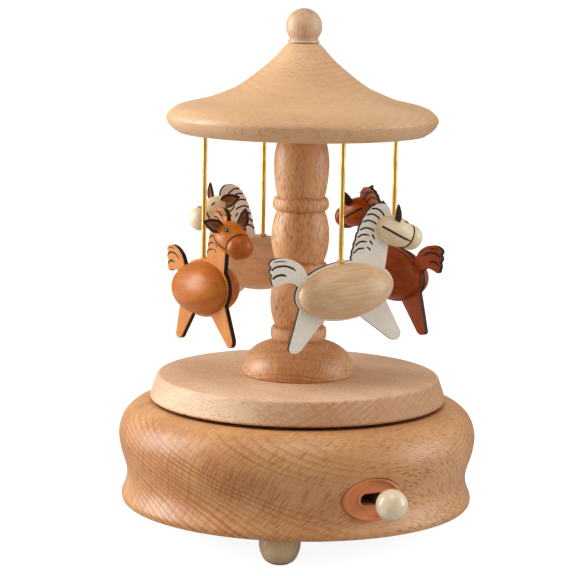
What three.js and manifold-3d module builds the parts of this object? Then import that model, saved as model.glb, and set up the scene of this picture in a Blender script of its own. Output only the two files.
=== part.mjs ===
// Carousel music box: a turned wooden base that hides a wind-up movement, and a turntable with a column,
// a canopy and four horses on brass poles.
// Millimetres, +Z up, origin on the floor under the turntable's axis.
import * as THREE from "three";
import { mergeVertices } from "three/addons/utils/BufferGeometryUtils.js";
import Module from "manifold-3d";

const wasm = await Module();
wasm.setup();

// ---------------------------------------------------------------- driving dimensions

// Gaps: between turned faces that rest on each other, and round a pin or a piece in its recess.
// A cutting tool runs past the faces that it opens by the overcut.
const faceGap = 0.05;
const fitGap = 0.3;
const overcut = 1;

// Feet
const footCount = 3;
const footHeight = 9;
const footRadius = 6.7;
const footTipRadius = 3;
const footInset = 9.3;
const firstFootAngle = -75;

// Base housing: the belly is its widest place, and the other radii are set in from it
const bellyRadius = 58.2;
const waistInset = 2.7;
const bottomInset = 0.8;
const plateauInset = 9.7;
const roofThickness = 5.5;
const wallClearance = 0.94;
const floorClearance = 2;

// Bottom cover and its screws
const coverThickness = 3;
const ledgeWidth = 5;
const coverScrewCount = 3;
const screwShankRadius = 1;
const screwHeadRadius = 2;
const screwHeadHeight = 1.1;
const screwLength = 8;

// Turntable, on a flanged bush that turns the winding arbor
const turntableGap = 1.4;
const bushRadius = 4.6;
const bushFlangeWidth = 3.4;
const bushFlangeThickness = 0.9;
const discThickness = 7.5;
const discRadius = 48.3;
const discTopRadius = 45.7;
const domeRadius = 17.9;
const domeHeight = 11.6;
const columnSeatDepth = 0.4;

// Column
const collarHeight = 4.8;
const ringSpacing = 21.1;
const ringRadius = 9.1;
const topBarrelHeight = 20.2;
const barrelRadii = [9.4, 9.4, 8.95];
const neckRadius = 7.7;
const columnTopRadius = 6.6;
const dowelRadius = 4;
const dowelDepth = 13;

// Canopy and finial
const canopyHeight = 28.8;
const canopyRadius = 43.7;
const rimHeight = 5.6;
const creaseHeight = 7.8;
const creaseInset = 2.7;
const apexRadius = 4.8;
const finialRadius = 5.8;
const finialNeckRadius = 4.4;
const finialNeckHeight = 1.5;
const tenonRadius = 1.6;
const tenonLength = 8;

// Poles
const poleRadius = 0.8;
const poleCircleRadius = 33.2;
const firstPoleAngle = -47;
const poleSocketDepth = 4;
const poleDepthInHorse = 3;

// Horses: how far the body's centre hangs under the canopy, and how far the nose turns in from the
// direction of travel
const horses = [
  { name: "horse_1", drop: 46.4, turnIn: 3, coat: "pale" },
  { name: "horse_2", drop: 46.4, turnIn: 16, coat: "brown" },
  { name: "horse_3", drop: 46.4, turnIn: 9, coat: "pale" },
  { name: "horse_4", drop: 48.8, turnIn: 7.5, coat: "brown" },
];
const horseCount = horses.length;
const horsePitch = 6;
const bodyForward = 1.3;
const bodyHalfLength = 16.2;
const bodyHalfHeight = 8.5;
const bodyHalfWidth = 7.6;
const boardThickness = 1.6;
const boardRim = 0.8;
const headHalfLength = 8.6;
const headHalfHeight = 4.7;
const headHalfWidth = 5;
const headTilt = 28;
const headForward = 21.4;
const headUp = 15.6;
const earThickness = 0.9;
const earLength = 6;
const earLean = 35;
const earSetback = 1.6;

// Switch
const switchAngle = -45;
const switchAboveFeet = 12.6;
const plateHalfLength = 9.65;
const plateHalfHeight = 6.85;
const plateThickness = 2.4;
const plateProud = 1;
const switchTravel = 4.4;
const leverRadius = 1.5;
const slotMargin = 0.35;
const knobRadius = 5;
const knobDistance = 8;
const fingerRadius = 0.8;
const fingerClearance = 1.4;

// Movement: gear modules and teeth, with tooth heights in modules and a tooth's share of its pitch
const crownModule = 0.6;
const crownTeeth = 36;
const cylinderPinionTeeth = 12;
const trainModule = 0.5;
const governorPinionTeeth = 8;
const wormWheelTeeth = 16;
const addendum = 0.8;
const dedendum = 1.2;
const crownToothDepth = 2.25;
const toothShare = 0.3;
const wheelClearance = 0.6;
const gearThickness = 1.4;
const crownFaceWidth = 2.2;

// Movement: frame, barrel, cylinder and comb
const bedplateThickness = 2;
const arborRadius = 2;
const barrelRadius = 8.5;
const cylinderRadius = 5.5;
const cylinderLength = 14;
const musicPinHeight = 0.5;
const musicPinSize = 0.4;
const cylinderArborRadius = 1;
const combTeeth = 18;
const combThickness = 1.1;
const combGap = 0.4;
const combToothLength = 8;
const combBaseWidth = 5.5;
const lugThickness = 1.5;
const frameThickness = 1.4;
const frameSetback = 2.2;
const frameHalfWidth = 2;
const frameLift = 0.8;
const lugHalfWidth = 2.2;
const governorArborRadius = 0.7;
const wormRadius = 1.5;
const wormLength = 5.4;
const fanRadius = 3.5;
const fanHeight = 4;
const fanShaftRadius = 0.5;

// ---------------------------------------------------------------- places worked out from them

const waistRadius = bellyRadius - waistInset;
const bottomRadius = bellyRadius - bottomInset;
const plateauRadius = bellyRadius - plateauInset;

// Gears: the governor's arbor lies far enough from the cylinder for the worm wheel to pass its pins
const roundingSlack = 0.01;
const trainAddendum = addendum * trainModule;
const musicPinTip = cylinderRadius + musicPinHeight;
const wormWheelRadius = (trainModule * wormWheelTeeth) / 2;
const wormWheelReach = musicPinTip + wheelClearance + wormWheelRadius + trainAddendum;
const teethBetween = Math.ceil((2 * wormWheelReach) / trainModule - roundingSlack);
const cylinderGearTeeth = teethBetween - governorPinionTeeth;
const cylinderGearTip = (trainModule * cylinderGearTeeth) / 2 + trainAddendum;
const governorPinionTip = (trainModule * governorPinionTeeth) / 2 + trainAddendum;
const governorOffset = (trainModule * teethBetween) / 2;

// Heights: the movement hangs under the roof, and the cavity is as deep as its largest gear needs
const coverTop = footHeight + coverThickness;
const cylinderAxis = coverTop + floorClearance + cylinderGearTip;
const bedplateBottom = cylinderAxis + cylinderGearTip + 3 * fitGap;
const bedplateTop = bedplateBottom + bedplateThickness;
const cavityRoof = bedplateTop + fitGap;
const baseTop = cavityRoof + roofThickness;
const baseHeight = baseTop - footHeight;
const discBottom = baseTop + turntableGap;
const discTop = discBottom + discThickness;
const domeBottom = discTop + faceGap;
const columnBottom = domeBottom + domeHeight - columnSeatDepth;
const columnTop = columnBottom + collarHeight + 2 * ringSpacing + topBarrelHeight;
const canopyBottom = columnTop + faceGap;
const canopyTop = canopyBottom + canopyHeight;

// The crown gear lies under the cylinder's pinion, and the barrel fills the height over the crown gear
const cylinderPinionRadius = (crownModule * cylinderPinionTeeth) / 2;
const crownRadius = (crownModule * crownTeeth) / 2;
const crownToothTop = cylinderAxis - cylinderPinionRadius + crownModule;
const barrelBottom = crownToothTop + 2 * fitGap;
const barrelTop = bedplateBottom - fitGap;
const crownDiscTop = crownToothTop - crownToothDepth * crownModule;
const crownDiscBottom = crownDiscTop - frameThickness;

// Movement plan: the cylinder lies along +X of the movement, the governor beside it in +Y
const pinionStart = crownRadius - crownFaceWidth / 2;
const pinionEnd = crownRadius + crownFaceWidth / 2;
const innerLugStart = pinionEnd + fitGap;
const innerLugEnd = innerLugStart + lugThickness;
const cylinderStart = innerLugEnd + 2 * fitGap;
const cylinderEnd = cylinderStart + cylinderLength;
const outerLugStart = cylinderEnd + 2 * fitGap;
const outerLugEnd = outerLugStart + lugThickness;
const gearStart = outerLugEnd + 2 * fitGap;
const gearEnd = gearStart + gearThickness;
const cavityRadius = Math.hypot(gearEnd, governorOffset + governorPinionTip) + wallClearance;
const recessRadius = cavityRadius + ledgeWidth;
const wormOffset = governorOffset + wormWheelRadius + wormRadius;
const frameStart = cylinderStart + frameSetback;
const frameEnd = frameStart + frameThickness;
const wormAlong = frameEnd + fanRadius + fitGap;
const governorTop = bedplateBottom - fitGap;
const frameBottom = coverTop + frameLift;
const fanBottom = frameBottom + frameThickness + fitGap;
const governorLugStart = gearStart - 2 * fitGap - lugThickness;
const movementAngle = switchAngle - THREE.MathUtils.radToDeg(Math.atan2(wormOffset, wormAlong));

// ---------------------------------------------------------------- materials

const beech = new THREE.MeshStandardMaterial({ color: 0xd9a97c, roughness: 0.55, metalness: 0 });
const maple = new THREE.MeshStandardMaterial({ color: 0xe6d3b4, roughness: 0.5, metalness: 0 });
const board = new THREE.MeshStandardMaterial({ color: 0xc7a06f, roughness: 0.7, metalness: 0 });
const brass = new THREE.MeshStandardMaterial({ color: 0xd8a93c, roughness: 0.25, metalness: 1 });
const steel = new THREE.MeshStandardMaterial({ color: 0xb9bcc0, roughness: 0.3, metalness: 1 });
const castIron = new THREE.MeshStandardMaterial({ color: 0x8f9296, roughness: 0.5, metalness: 0.8 });
const darkRod = new THREE.MeshStandardMaterial({ color: 0x3a2622, roughness: 0.4, metalness: 0.6 });
const terracotta = new THREE.MeshStandardMaterial({ color: 0xc37d55, roughness: 0.45, metalness: 0 });
const cream = new THREE.MeshStandardMaterial({ color: 0xf1e4c8, roughness: 0.2, metalness: 0 });
const leather = new THREE.MeshStandardMaterial({ color: 0x46281f, roughness: 0.6, metalness: 0 });
const coats = {
  pale: {
    board: new THREE.MeshStandardMaterial({ color: 0xe1d7c8, roughness: 0.6, metalness: 0 }),
    body: new THREE.MeshStandardMaterial({ color: 0xcdaa82, roughness: 0.4, metalness: 0 }),
    head: new THREE.MeshStandardMaterial({ color: 0xebdcb4, roughness: 0.4, metalness: 0 }),
  },
  brown: {
    board: new THREE.MeshStandardMaterial({ color: 0xd2803c, roughness: 0.5, metalness: 0 }),
    body: new THREE.MeshStandardMaterial({ color: 0xb45a20, roughness: 0.35, metalness: 0 }),
    head: new THREE.MeshStandardMaterial({ color: 0xb45a20, roughness: 0.35, metalness: 0 }),
  },
};

// ---------------------------------------------------------------- solids

const radians = THREE.MathUtils.degToRad;

function solidOf(geometry) {
  const bare = geometry.clone();
  bare.deleteAttribute("normal");
  bare.deleteAttribute("uv");
  const merged = mergeVertices(bare, 1e-4);
  return new wasm.Manifold(
    new wasm.Mesh({
      numProp: 3,
      vertProperties: new Float32Array(merged.attributes.position.array),
      triVerts: new Uint32Array(merged.index.array),
    }),
  );
}

function geometryOf(solid) {
  const mesh = solid.getMesh();
  const geometry = new THREE.BufferGeometry();
  geometry.setAttribute("position", new THREE.BufferAttribute(mesh.vertProperties, 3));
  geometry.setIndex(new THREE.BufferAttribute(mesh.triVerts, 1));
  geometry.computeVertexNormals();
  return geometry;
}

function joined(...pieces) {
  return geometryOf(pieces.map(solidOf).reduce((whole, piece) => whole.add(piece)));
}

function cut(piece, ...tools) {
  return geometryOf(tools.map(solidOf).reduce((whole, tool) => whole.subtract(tool), solidOf(piece)));
}

// A turned piece about +Z. The profile lists [radius, height], up the outside and down any bore.
function turned(profile, segments) {
  const points = profile.map(([radius, height]) => new THREE.Vector2(radius, height));
  return new THREE.LatheGeometry(points, segments).rotateX(Math.PI / 2);
}

function rod(radius, bottom, top, segments = 12) {
  const profile = [
    [0, bottom],
    [radius, bottom],
    [radius, top],
    [0, top],
  ];
  return turned(profile, segments);
}

function box(low, high) {
  const size = high.map((value, axis) => value - low[axis]);
  const middle = high.map((value, axis) => (value + low[axis]) / 2);
  return new THREE.BoxGeometry(...size).translate(...middle);
}

// Points of a circular arc in [radius, height], angles in degrees from the outward direction.
function arc(radius, height, size, from, to, steps) {
  return Array.from({ length: steps + 1 }, (_, step) => {
    const angle = radians(from + ((to - from) * step) / steps);
    return [radius + size * Math.cos(angle), height + size * Math.sin(angle)];
  });
}

function smooth(points, steps) {
  const curve = new THREE.SplineCurve(points.map(([x, y]) => new THREE.Vector2(x, y)));
  return curve.getPoints(steps).map((point) => [point.x, point.y]);
}

function shapeOf(points) {
  return new THREE.Shape(points.map(([x, y]) => new THREE.Vector2(x, y)));
}

function extruded(shape, depth, curveSegments = 12) {
  return new THREE.ExtrudeGeometry(shape, { depth, bevelEnabled: false, curveSegments });
}

// Turns a piece drawn about +Z so that its axis lies along +X: drawn x becomes y, drawn y becomes z.
function laidAlongX(geometry) {
  const across = new THREE.Vector3(0, 1, 0);
  const up = new THREE.Vector3(0, 0, 1);
  const along = new THREE.Vector3(1, 0, 0);
  return geometry.applyMatrix4(new THREE.Matrix4().makeBasis(across, up, along));
}

function mesh(name, geometry, material) {
  const made = new THREE.Mesh(geometry, material);
  made.name = name;
  return made;
}

function group(...members) {
  const made = new THREE.Group();
  made.add(...members);
  return made;
}

function aroundAxis(radius, degrees) {
  return [radius * Math.cos(radians(degrees)), radius * Math.sin(radians(degrees))];
}

// A screw that points up from its head, the head's face at height zero.
function screw() {
  const profile = [
    [0, 0],
    [screwHeadRadius, 0],
    [screwHeadRadius, screwHeadHeight],
    [screwShankRadius, screwHeadHeight],
    [screwShankRadius, screwLength - screwShankRadius],
    [0, screwLength],
  ];
  return turned(profile, 10);
}

// ---------------------------------------------------------------- gears

// Slender straight-sided teeth that leave wide backlash; tooth 0 is centred on `phase` teeth from +X.
function gearOutline(teeth, module, phase = 0) {
  const pitchRadius = (module * teeth) / 2;
  const rootRadius = pitchRadius - dedendum * module;
  const tipRadius = pitchRadius + addendum * module;
  const halfTooth = (Math.PI / teeth) * toothShare;
  return Array.from({ length: teeth }, (_, tooth) => {
    const middle = ((tooth + phase) * 2 * Math.PI) / teeth;
    return [
      [rootRadius, -1.6],
      [tipRadius, -0.5],
      [tipRadius, 0.5],
      [rootRadius, 1.6],
    ].map(([radius, share]) => {
      const angle = middle + share * halfTooth;
      return [radius * Math.cos(angle), radius * Math.sin(angle)];
    });
  }).flat();
}

function gear(teeth, module, phase, start, end) {
  const toothed = extruded(shapeOf(gearOutline(teeth, module, phase)), end - start);
  return laidAlongX(toothed.translate(0, 0, start));
}

function crownGear() {
  const hubRadius = 4;
  const rimRadius = pinionEnd + fitGap;
  const hubTop = barrelBottom - fitGap;
  const disc = turned(
    [
      [arborRadius + fitGap, crownDiscBottom],
      [rimRadius, crownDiscBottom],
      [rimRadius, crownDiscTop],
      [hubRadius, crownDiscTop],
      [hubRadius, hubTop],
      [arborRadius + fitGap, hubTop],
      [arborRadius + fitGap, crownDiscBottom],
    ],
    36,
  );
  const pitch = Math.PI * crownModule;
  const rootHalf = pitch * toothShare * 0.8;
  const tipHalf = pitch * toothShare * 0.3;
  const sunk = 0.3;
  const outline = shapeOf([
    [-rootHalf, crownDiscTop - sunk],
    [rootHalf, crownDiscTop - sunk],
    [tipHalf, crownToothTop],
    [-tipHalf, crownToothTop],
  ]);
  const teeth = Array.from({ length: crownTeeth }, (_, tooth) =>
    laidAlongX(extruded(outline, crownFaceWidth).translate(0, 0, pinionStart)).rotateZ(
      ((tooth + 0.5) * 2 * Math.PI) / crownTeeth,
    ),
  );
  return joined(disc, ...teeth);
}

// A right-handed single thread: a straight bar is drawn, then each point is wrapped round
// the worm's axis.
function wormThread() {
  const lead = Math.PI * trainModule;
  const turns = wormLength / lead - 0.8;
  const inner = wormRadius - dedendum * trainModule;
  const outer = wormRadius + addendum * trainModule;
  const rootHalf = lead * toothShare * 0.8;
  const tipHalf = lead * toothShare * 0.25;
  const section = shapeOf([
    [-rootHalf, inner],
    [rootHalf, inner],
    [tipHalf, outer],
    [-tipHalf, outer],
  ]);
  const steps = Math.round(turns * 10);
  const bar = new THREE.ExtrudeGeometry(section, { depth: 1, steps, bevelEnabled: false });
  const facingWheel = -Math.PI / 2;
  const place = bar.attributes.position;
  for (let i = 0; i < place.count; i += 1) {
    const wound = (place.getZ(i) - 0.5) * turns * 2 * Math.PI;
    const angle = facingWheel + wound;
    const radius = place.getY(i);
    const height = place.getX(i) + (lead * wound) / (2 * Math.PI);
    place.setXYZ(i, radius * Math.cos(angle), radius * Math.sin(angle), height);
  }
  return bar;
}

// ---------------------------------------------------------------- base

function baseProfile() {
  const bottomEdge = 1.2;
  const arborHole = arborRadius + 4 * fitGap;
  return [
    ...arc(bottomRadius - bottomEdge, footHeight + bottomEdge, bottomEdge, -90, -10, 3),
    ...smooth(
      [
        [bottomRadius + 0.1, footHeight + baseHeight * 0.06],
        [waistRadius + 0.45, footHeight + baseHeight * 0.17],
        [waistRadius, footHeight + baseHeight * 0.26],
        [sideAtSwitch, footHeight + baseHeight * 0.42],
        [bellyRadius - 0.35, footHeight + baseHeight * 0.59],
        [bellyRadius, footHeight + baseHeight * 0.68],
        [bellyRadius - 0.7, footHeight + baseHeight * 0.8],
        [bellyRadius - 2.2, footHeight + baseHeight * 0.88],
        [bellyRadius - 4.6, footHeight + baseHeight * 0.955],
        [plateauRadius + 2, baseTop - 0.3],
        [plateauRadius, baseTop],
      ],
      10,
    ),
    [arborHole, baseTop],
    [arborHole, cavityRoof],
    [cavityRadius, cavityRoof],
    [cavityRadius, coverTop],
    [recessRadius, coverTop],
    [recessRadius, footHeight],
    [bottomRadius - bottomEdge, footHeight],
  ];
}

// Where the plate's front face stands, out from the axis: a little proud of the side at its own height.
const switchHeight = footHeight + switchAboveFeet;
const sideAtSwitch = waistRadius + 0.9;
const plateFront = sideAtSwitch + plateProud;
const plateBack = plateFront - plateThickness;

function oval(halfLength, halfHeight) {
  const shape = new THREE.Shape();
  shape.absellipse(0, 0, halfLength, halfHeight, 0, 2 * Math.PI);
  return shape;
}

// A stadium lying along x, like the slot in the plate.
function stadium(halfLength, halfHeight) {
  const straight = halfLength - halfHeight;
  const shape = new THREE.Shape();
  shape.moveTo(-straight, -halfHeight);
  shape.lineTo(straight, -halfHeight);
  shape.absarc(straight, 0, halfHeight, -Math.PI / 2, Math.PI / 2);
  shape.lineTo(-straight, halfHeight);
  shape.absarc(-straight, 0, halfHeight, Math.PI / 2, (3 * Math.PI) / 2);
  return shape;
}

// Stands a piece drawn in x (to the right) and y (up) in the base's side.
// Its depth runs outwards from `start`.
function inSide(geometry, start) {
  const right = new THREE.Vector3(0, 1, 0);
  const up = new THREE.Vector3(0, 0, 1);
  const out = new THREE.Vector3(1, 0, 0);
  const stood = geometry.applyMatrix4(new THREE.Matrix4().makeBasis(right, up, out));
  return stood.translate(start, 0, switchHeight).rotateZ(radians(switchAngle));
}

const slotHalfHeight = leverRadius + slotMargin;
const slotHalfLength = switchTravel / 2 + slotHalfHeight;

function screwHole(x, y, bottom, top) {
  return rod(screwShankRadius + fitGap, bottom, top, 10).translate(x, y, 0);
}

const coverScrewCircle = cavityRadius + ledgeWidth / 2;

function coverScrewPlaces() {
  return Array.from({ length: coverScrewCount }, (_, index) =>
    aroundAxis(coverScrewCircle, firstFootAngle + (360 / coverScrewCount) * (index + 0.5)),
  );
}

// Screws that hold the bedplate under the base's roof, in the movement's plan.
const bedplateScrewPlaces = [
  [-8.5, -11],
  [-8.5, 11],
];
const combScrewInset = 2.6;
const combScrewPlaces = [
  [cylinderStart + combScrewInset, combScrewLine()],
  [cylinderEnd - combScrewInset, combScrewLine()],
];

function combScrewLine() {
  return -(musicPinTip + combGap + combToothLength + combBaseWidth / 2);
}

function baseHousing() {
  const pocketDepth = 8;
  const coverHoles = coverScrewPlaces().map(([x, y]) =>
    screwHole(x, y, coverTop - overcut, footHeight + screwLength + fitGap),
  );
  const bedplateHoles = bedplateScrewPlaces.map(([x, y]) => {
    const head = bedplateBottom - screwHeadHeight - fitGap;
    const hole = screwHole(x, y, cavityRoof - overcut, head + screwLength + fitGap);
    return hole.rotateZ(radians(movementAngle));
  });
  const pocket = extruded(oval(plateHalfLength + fitGap, plateHalfHeight + fitGap), pocketDepth, 9);
  const slot = extruded(stadium(slotHalfLength, slotHalfHeight), bellyRadius - cavityRadius, 6);
  return cut(
    turned(baseProfile(), 36),
    inSide(pocket, plateBack - fitGap),
    inSide(slot, cavityRadius - 2 * overcut),
    ...coverHoles,
    ...bedplateHoles,
  );
}

function bottomCover() {
  const bottom = footHeight + faceGap;
  const sunk = screwHeadHeight + fitGap;
  const disc = rod(recessRadius - fitGap, bottom, coverTop - faceGap, 36);
  const holes = coverScrewPlaces().flatMap(([x, y]) => [
    screwHole(x, y, bottom - overcut, coverTop + overcut),
    rod(screwHeadRadius + fitGap, bottom - overcut, bottom + sunk, 12).translate(x, y, 0),
  ]);
  return cut(disc, ...holes);
}

function foot() {
  const topRadius = footRadius * 0.86;
  const profile = [
    [0, 0],
    [footTipRadius, 0],
    ...smooth(
      [
        [footTipRadius + 0.5, 0.12],
        [footRadius * 0.82, footHeight * 0.22],
        [footRadius, footHeight * 0.62],
        [topRadius, footHeight - faceGap],
      ],
      5,
    ),
    [0, footHeight - faceGap],
  ];
  return turned(profile, 14);
}

function baseParts() {
  const feet = Array.from({ length: footCount }, (_, index) => {
    const made = mesh("foot_" + (index + 1), foot(), maple);
    const angle = firstFootAngle + (360 / footCount) * index;
    made.position.set(...aroundAxis(bottomRadius - footInset, angle), 0);
    return made;
  });
  const screws = coverScrewPlaces().map(([x, y], index) => {
    const made = mesh("cover_screw_" + (index + 1), screw(), steel);
    made.position.set(x, y, footHeight + faceGap + fitGap);
    return made;
  });
  return group(
    mesh("base_housing", baseHousing(), beech),
    mesh("bottom_cover", bottomCover(), board),
    ...feet,
    ...screws,
  );
}

// ---------------------------------------------------------------- switch

const leverRest = switchTravel / 2;
const knobCentre = plateFront + knobDistance;
const knobBoreDepth = knobRadius * 0.6;

function switchPlate() {
  const depth = plateThickness;
  const plate = extruded(oval(plateHalfLength, plateHalfHeight), depth, 9);
  const slot = extruded(stadium(slotHalfLength, slotHalfHeight), depth + 2 * overcut, 6);
  return inSide(cut(plate, slot.translate(0, 0, -overcut)), plateBack);
}

function switchLever() {
  const inner = Math.hypot(wormAlong, wormOffset) + fanRadius + fingerRadius + fingerClearance;
  const outer = knobCentre - knobRadius + knobBoreDepth - fitGap;
  const bar = rod(leverRadius, inner, outer, 12).translate(leverRest, 0, 0);
  const fingerLength = switchHeight - (fanBottom + fanHeight / 2);
  const finger = rod(fingerRadius, -fingerLength, 0, 10)
    .rotateX(-Math.PI / 2)
    .translate(leverRest, 0, inner + fingerRadius);
  return inSide(joined(bar, finger), 0);
}

function switchKnob() {
  const bore = leverRadius + fitGap;
  const open = Math.asin(bore / knobRadius);
  const start = -90 + THREE.MathUtils.radToDeg(open);
  const profile = [
    [0, -knobRadius + knobBoreDepth],
    [bore, -knobRadius + knobBoreDepth],
    ...arc(0, 0, knobRadius, start, 90, 8),
  ];
  profile[profile.length - 1][0] = 0;
  const ball = turned(profile, 16);
  return inSide(ball.translate(leverRest, 0, 0), knobCentre);
}

function switchParts() {
  return group(
    mesh("switch_plate", switchPlate(), terracotta),
    mesh("switch_lever", switchLever(), darkRod),
    mesh("switch_knob", switchKnob(), cream),
  );
}

// ---------------------------------------------------------------- movement

function acrossHole(radius, from, to, across, height) {
  return laidAlongX(rod(radius, from, to, 10)).translate(0, across, height);
}

function bedplate() {
  const corner = 6;
  const left = -12;
  const right = outerLugEnd + 0.8;
  const front = combScrewLine() - combBaseWidth / 2;
  const back = wormOffset + 3.6;
  const outline = [
    [left, front + corner],
    [left + corner, front],
    [right - corner, front],
    [right, front + corner],
    [right, back - corner],
    [right - corner, back],
    [left + corner, back],
    [left, back - corner],
  ];
  const lugBottom = cylinderAxis - 2.5;
  const inBedplate = bedplateBottom + bedplateThickness / 2;
  const innerLug = box(
    [innerLugStart, -lugHalfWidth, lugBottom],
    [innerLugEnd, lugHalfWidth, inBedplate],
  );
  const outerLug = box(
    [outerLugStart, -lugHalfWidth, lugBottom],
    [outerLugEnd, lugHalfWidth, inBedplate],
  );
  const combRest = box(
    [cylinderStart, front, combTop + fitGap],
    [cylinderEnd, front + combBaseWidth, inBedplate],
  );
  const whole = joined(
    extruded(shapeOf(outline), bedplateThickness).translate(0, 0, bedplateBottom),
    innerLug,
    outerLug,
    combRest,
  );
  const below = bedplateBottom - overcut;
  const above = bedplateTop + overcut;
  const arborHole = rod(arborRadius + fitGap, below, above, 24);
  const pivots = acrossHole(
    cylinderArborRadius + fitGap,
    innerLugStart - overcut,
    outerLugEnd + overcut,
    0,
    cylinderAxis,
  );
  const screwHoles = bedplateScrewPlaces.map(([x, y]) => screwHole(x, y, below, above));
  const combScrewTip = combTop - combThickness - screwHeadHeight + screwLength;
  const combHoles = combScrewPlaces.map(([x, y]) =>
    screwHole(x, y, combTop - overcut, combScrewTip + overcut),
  );
  return cut(whole, arborHole, pivots, ...screwHoles, ...combHoles);
}

const combTop = cylinderAxis + combThickness / 2;

function comb() {
  const tip = -(musicPinTip + combGap);
  const root = tip - combToothLength;
  const back = root - combBaseWidth;
  const pitch = (cylinderEnd - cylinderStart) / combTeeth;
  const slitShare = 0.35;
  const teeth = Array.from({ length: combTeeth }, (_, tooth) => {
    const left = cylinderStart + tooth * pitch;
    const right = left + pitch * (1 - slitShare);
    return [
      [left, root],
      [left, tip],
      [right, tip],
      [right, root],
    ];
  }).flat();
  const outline = shapeOf([
    ...teeth,
    [cylinderEnd, root],
    [cylinderEnd, back],
    [cylinderStart, back],
  ]);
  const combBottom = combTop - combThickness;
  const plate = extruded(outline, combThickness).translate(0, 0, combBottom);
  const holes = combScrewPlaces.map(([x, y]) =>
    screwHole(x, y, combBottom - overcut, combTop + overcut),
  );
  return cut(plate, ...holes);
}

function springBarrel() {
  const edge = 0.4;
  const bore = arborRadius + fitGap;
  const profile = [
    [bore, barrelBottom],
    [barrelRadius - edge, barrelBottom],
    [barrelRadius, barrelBottom + edge],
    [barrelRadius, barrelTop - edge],
    [barrelRadius - edge, barrelTop],
    [bore, barrelTop],
    [bore, barrelBottom],
  ];
  return turned(profile, 24);
}

function pinCylinder() {
  const arbor = laidAlongX(rod(cylinderArborRadius, pinionStart, gearEnd, 10));
  const drum = laidAlongX(rod(cylinderRadius, cylinderStart, cylinderEnd, 20));
  const pinion = gear(cylinderPinionTeeth, crownModule, 0, pinionStart, pinionEnd);
  const pitch = cylinderLength / combTeeth;
  const goldenAngle = 137.5;
  const musicPins = Array.from({ length: combTeeth }, (_, index) => {
    const along = cylinderStart + (index + 0.4) * pitch;
    const half = musicPinSize / 2;
    const root = cylinderRadius - musicPinHeight;
    const pin = box([along - half, -half, root], [along + half, half, musicPinTip]);
    return pin.rotateX(radians(goldenAngle * index));
  });
  return joined(arbor, drum, pinion, ...musicPins).translate(0, 0, cylinderAxis);
}

function cylinderGear() {
  const toothed = gear(cylinderGearTeeth, trainModule, 0.5, gearStart, gearEnd);
  const bore = laidAlongX(rod(cylinderArborRadius + fitGap, gearStart - overcut, gearEnd + overcut, 10));
  return cut(toothed, bore).translate(0, 0, cylinderAxis);
}

function governorFrame() {
  const low = governorOffset - lugHalfWidth;
  const high = governorOffset + lugHalfWidth;
  const wallBack = wormOffset + frameHalfWidth;
  const footFront = wormOffset - frameHalfWidth;
  const armEnd = wormAlong + frameHalfWidth;
  const lugEnd = governorLugStart + lugThickness;
  const under = governorTop - frameThickness;
  const whole = joined(
    box([frameStart, low, frameBottom], [frameEnd, wallBack, governorTop]),
    box([frameStart, low, under], [armEnd, wallBack, governorTop]),
    box([frameStart, low, under], [lugEnd, high, governorTop]),
    box([governorLugStart, low, cylinderAxis - frameHalfWidth], [lugEnd, high, governorTop]),
    box([frameStart, footFront, frameBottom], [armEnd, wallBack, frameBottom + frameThickness]),
  );
  const arborHole = acrossHole(
    governorArborRadius + fitGap,
    frameStart - overcut,
    lugEnd + overcut,
    governorOffset,
    cylinderAxis,
  );
  const fanPivots = rod(fanShaftRadius + fitGap, coverTop, governorTop + overcut, 12);
  return cut(whole, arborHole, fanPivots.translate(wormAlong, wormOffset, 0));
}

function governorWheel() {
  const half = gearThickness / 2;
  return joined(
    laidAlongX(rod(governorArborRadius, frameStart, gearEnd, 10)),
    gear(governorPinionTeeth, trainModule, 0, gearStart, gearEnd),
    gear(wormWheelTeeth, trainModule, 0.5, wormAlong - half, wormAlong + half),
  ).translate(0, governorOffset, cylinderAxis);
}

function governorFan() {
  const bladeHalf = 0.3;
  const wormBottom = cylinderAxis - wormLength / 2;
  const core = rod(wormRadius - trainModule, wormBottom, wormBottom + wormLength, 10);
  return joined(
    rod(fanShaftRadius, frameBottom + fitGap, governorTop - fitGap, 12),
    core,
    wormThread().translate(0, 0, cylinderAxis),
    box([-fanRadius, -bladeHalf, fanBottom], [fanRadius, bladeHalf, fanBottom + fanHeight]),
    box([-bladeHalf, -fanRadius, fanBottom], [bladeHalf, fanRadius, fanBottom + fanHeight]),
  ).translate(wormAlong, wormOffset, 0);
}

function movementParts() {
  const bedplateScrews = bedplateScrewPlaces.map(([x, y], index) => {
    const made = mesh("movement_screw_" + (index + 1), screw(), steel);
    made.position.set(x, y, bedplateBottom - screwHeadHeight - fitGap);
    return made;
  });
  const combScrews = combScrewPlaces.map(([x, y], index) => {
    const made = mesh("comb_screw_" + (index + 1), screw(), steel);
    made.position.set(x, y, combTop - combThickness - screwHeadHeight - fitGap);
    return made;
  });
  const made = group(
    mesh("movement_bedplate", bedplate(), castIron),
    mesh("spring_barrel", springBarrel(), steel),
    mesh("comb", comb(), steel),
    mesh("pin_cylinder", pinCylinder(), brass),
    mesh("cylinder_gear", cylinderGear(), brass),
    mesh("governor_frame", governorFrame(), brass),
    mesh("governor_wheel", governorWheel(), brass),
    mesh("governor_fan", governorFan(), steel),
    mesh("drive_gear", crownGear(), brass),
    ...bedplateScrews,
    ...combScrews,
  );
  made.rotation.z = radians(movementAngle);
  return made;
}

// ---------------------------------------------------------------- turntable

const bushTop = discBottom + discThickness / 2;
const arborTop = bushTop - fitGap;
const dowelBottom = bushTop + fitGap;
const dowelTop = columnBottom + dowelDepth;
const dowelHole = dowelRadius + fitGap;

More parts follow.
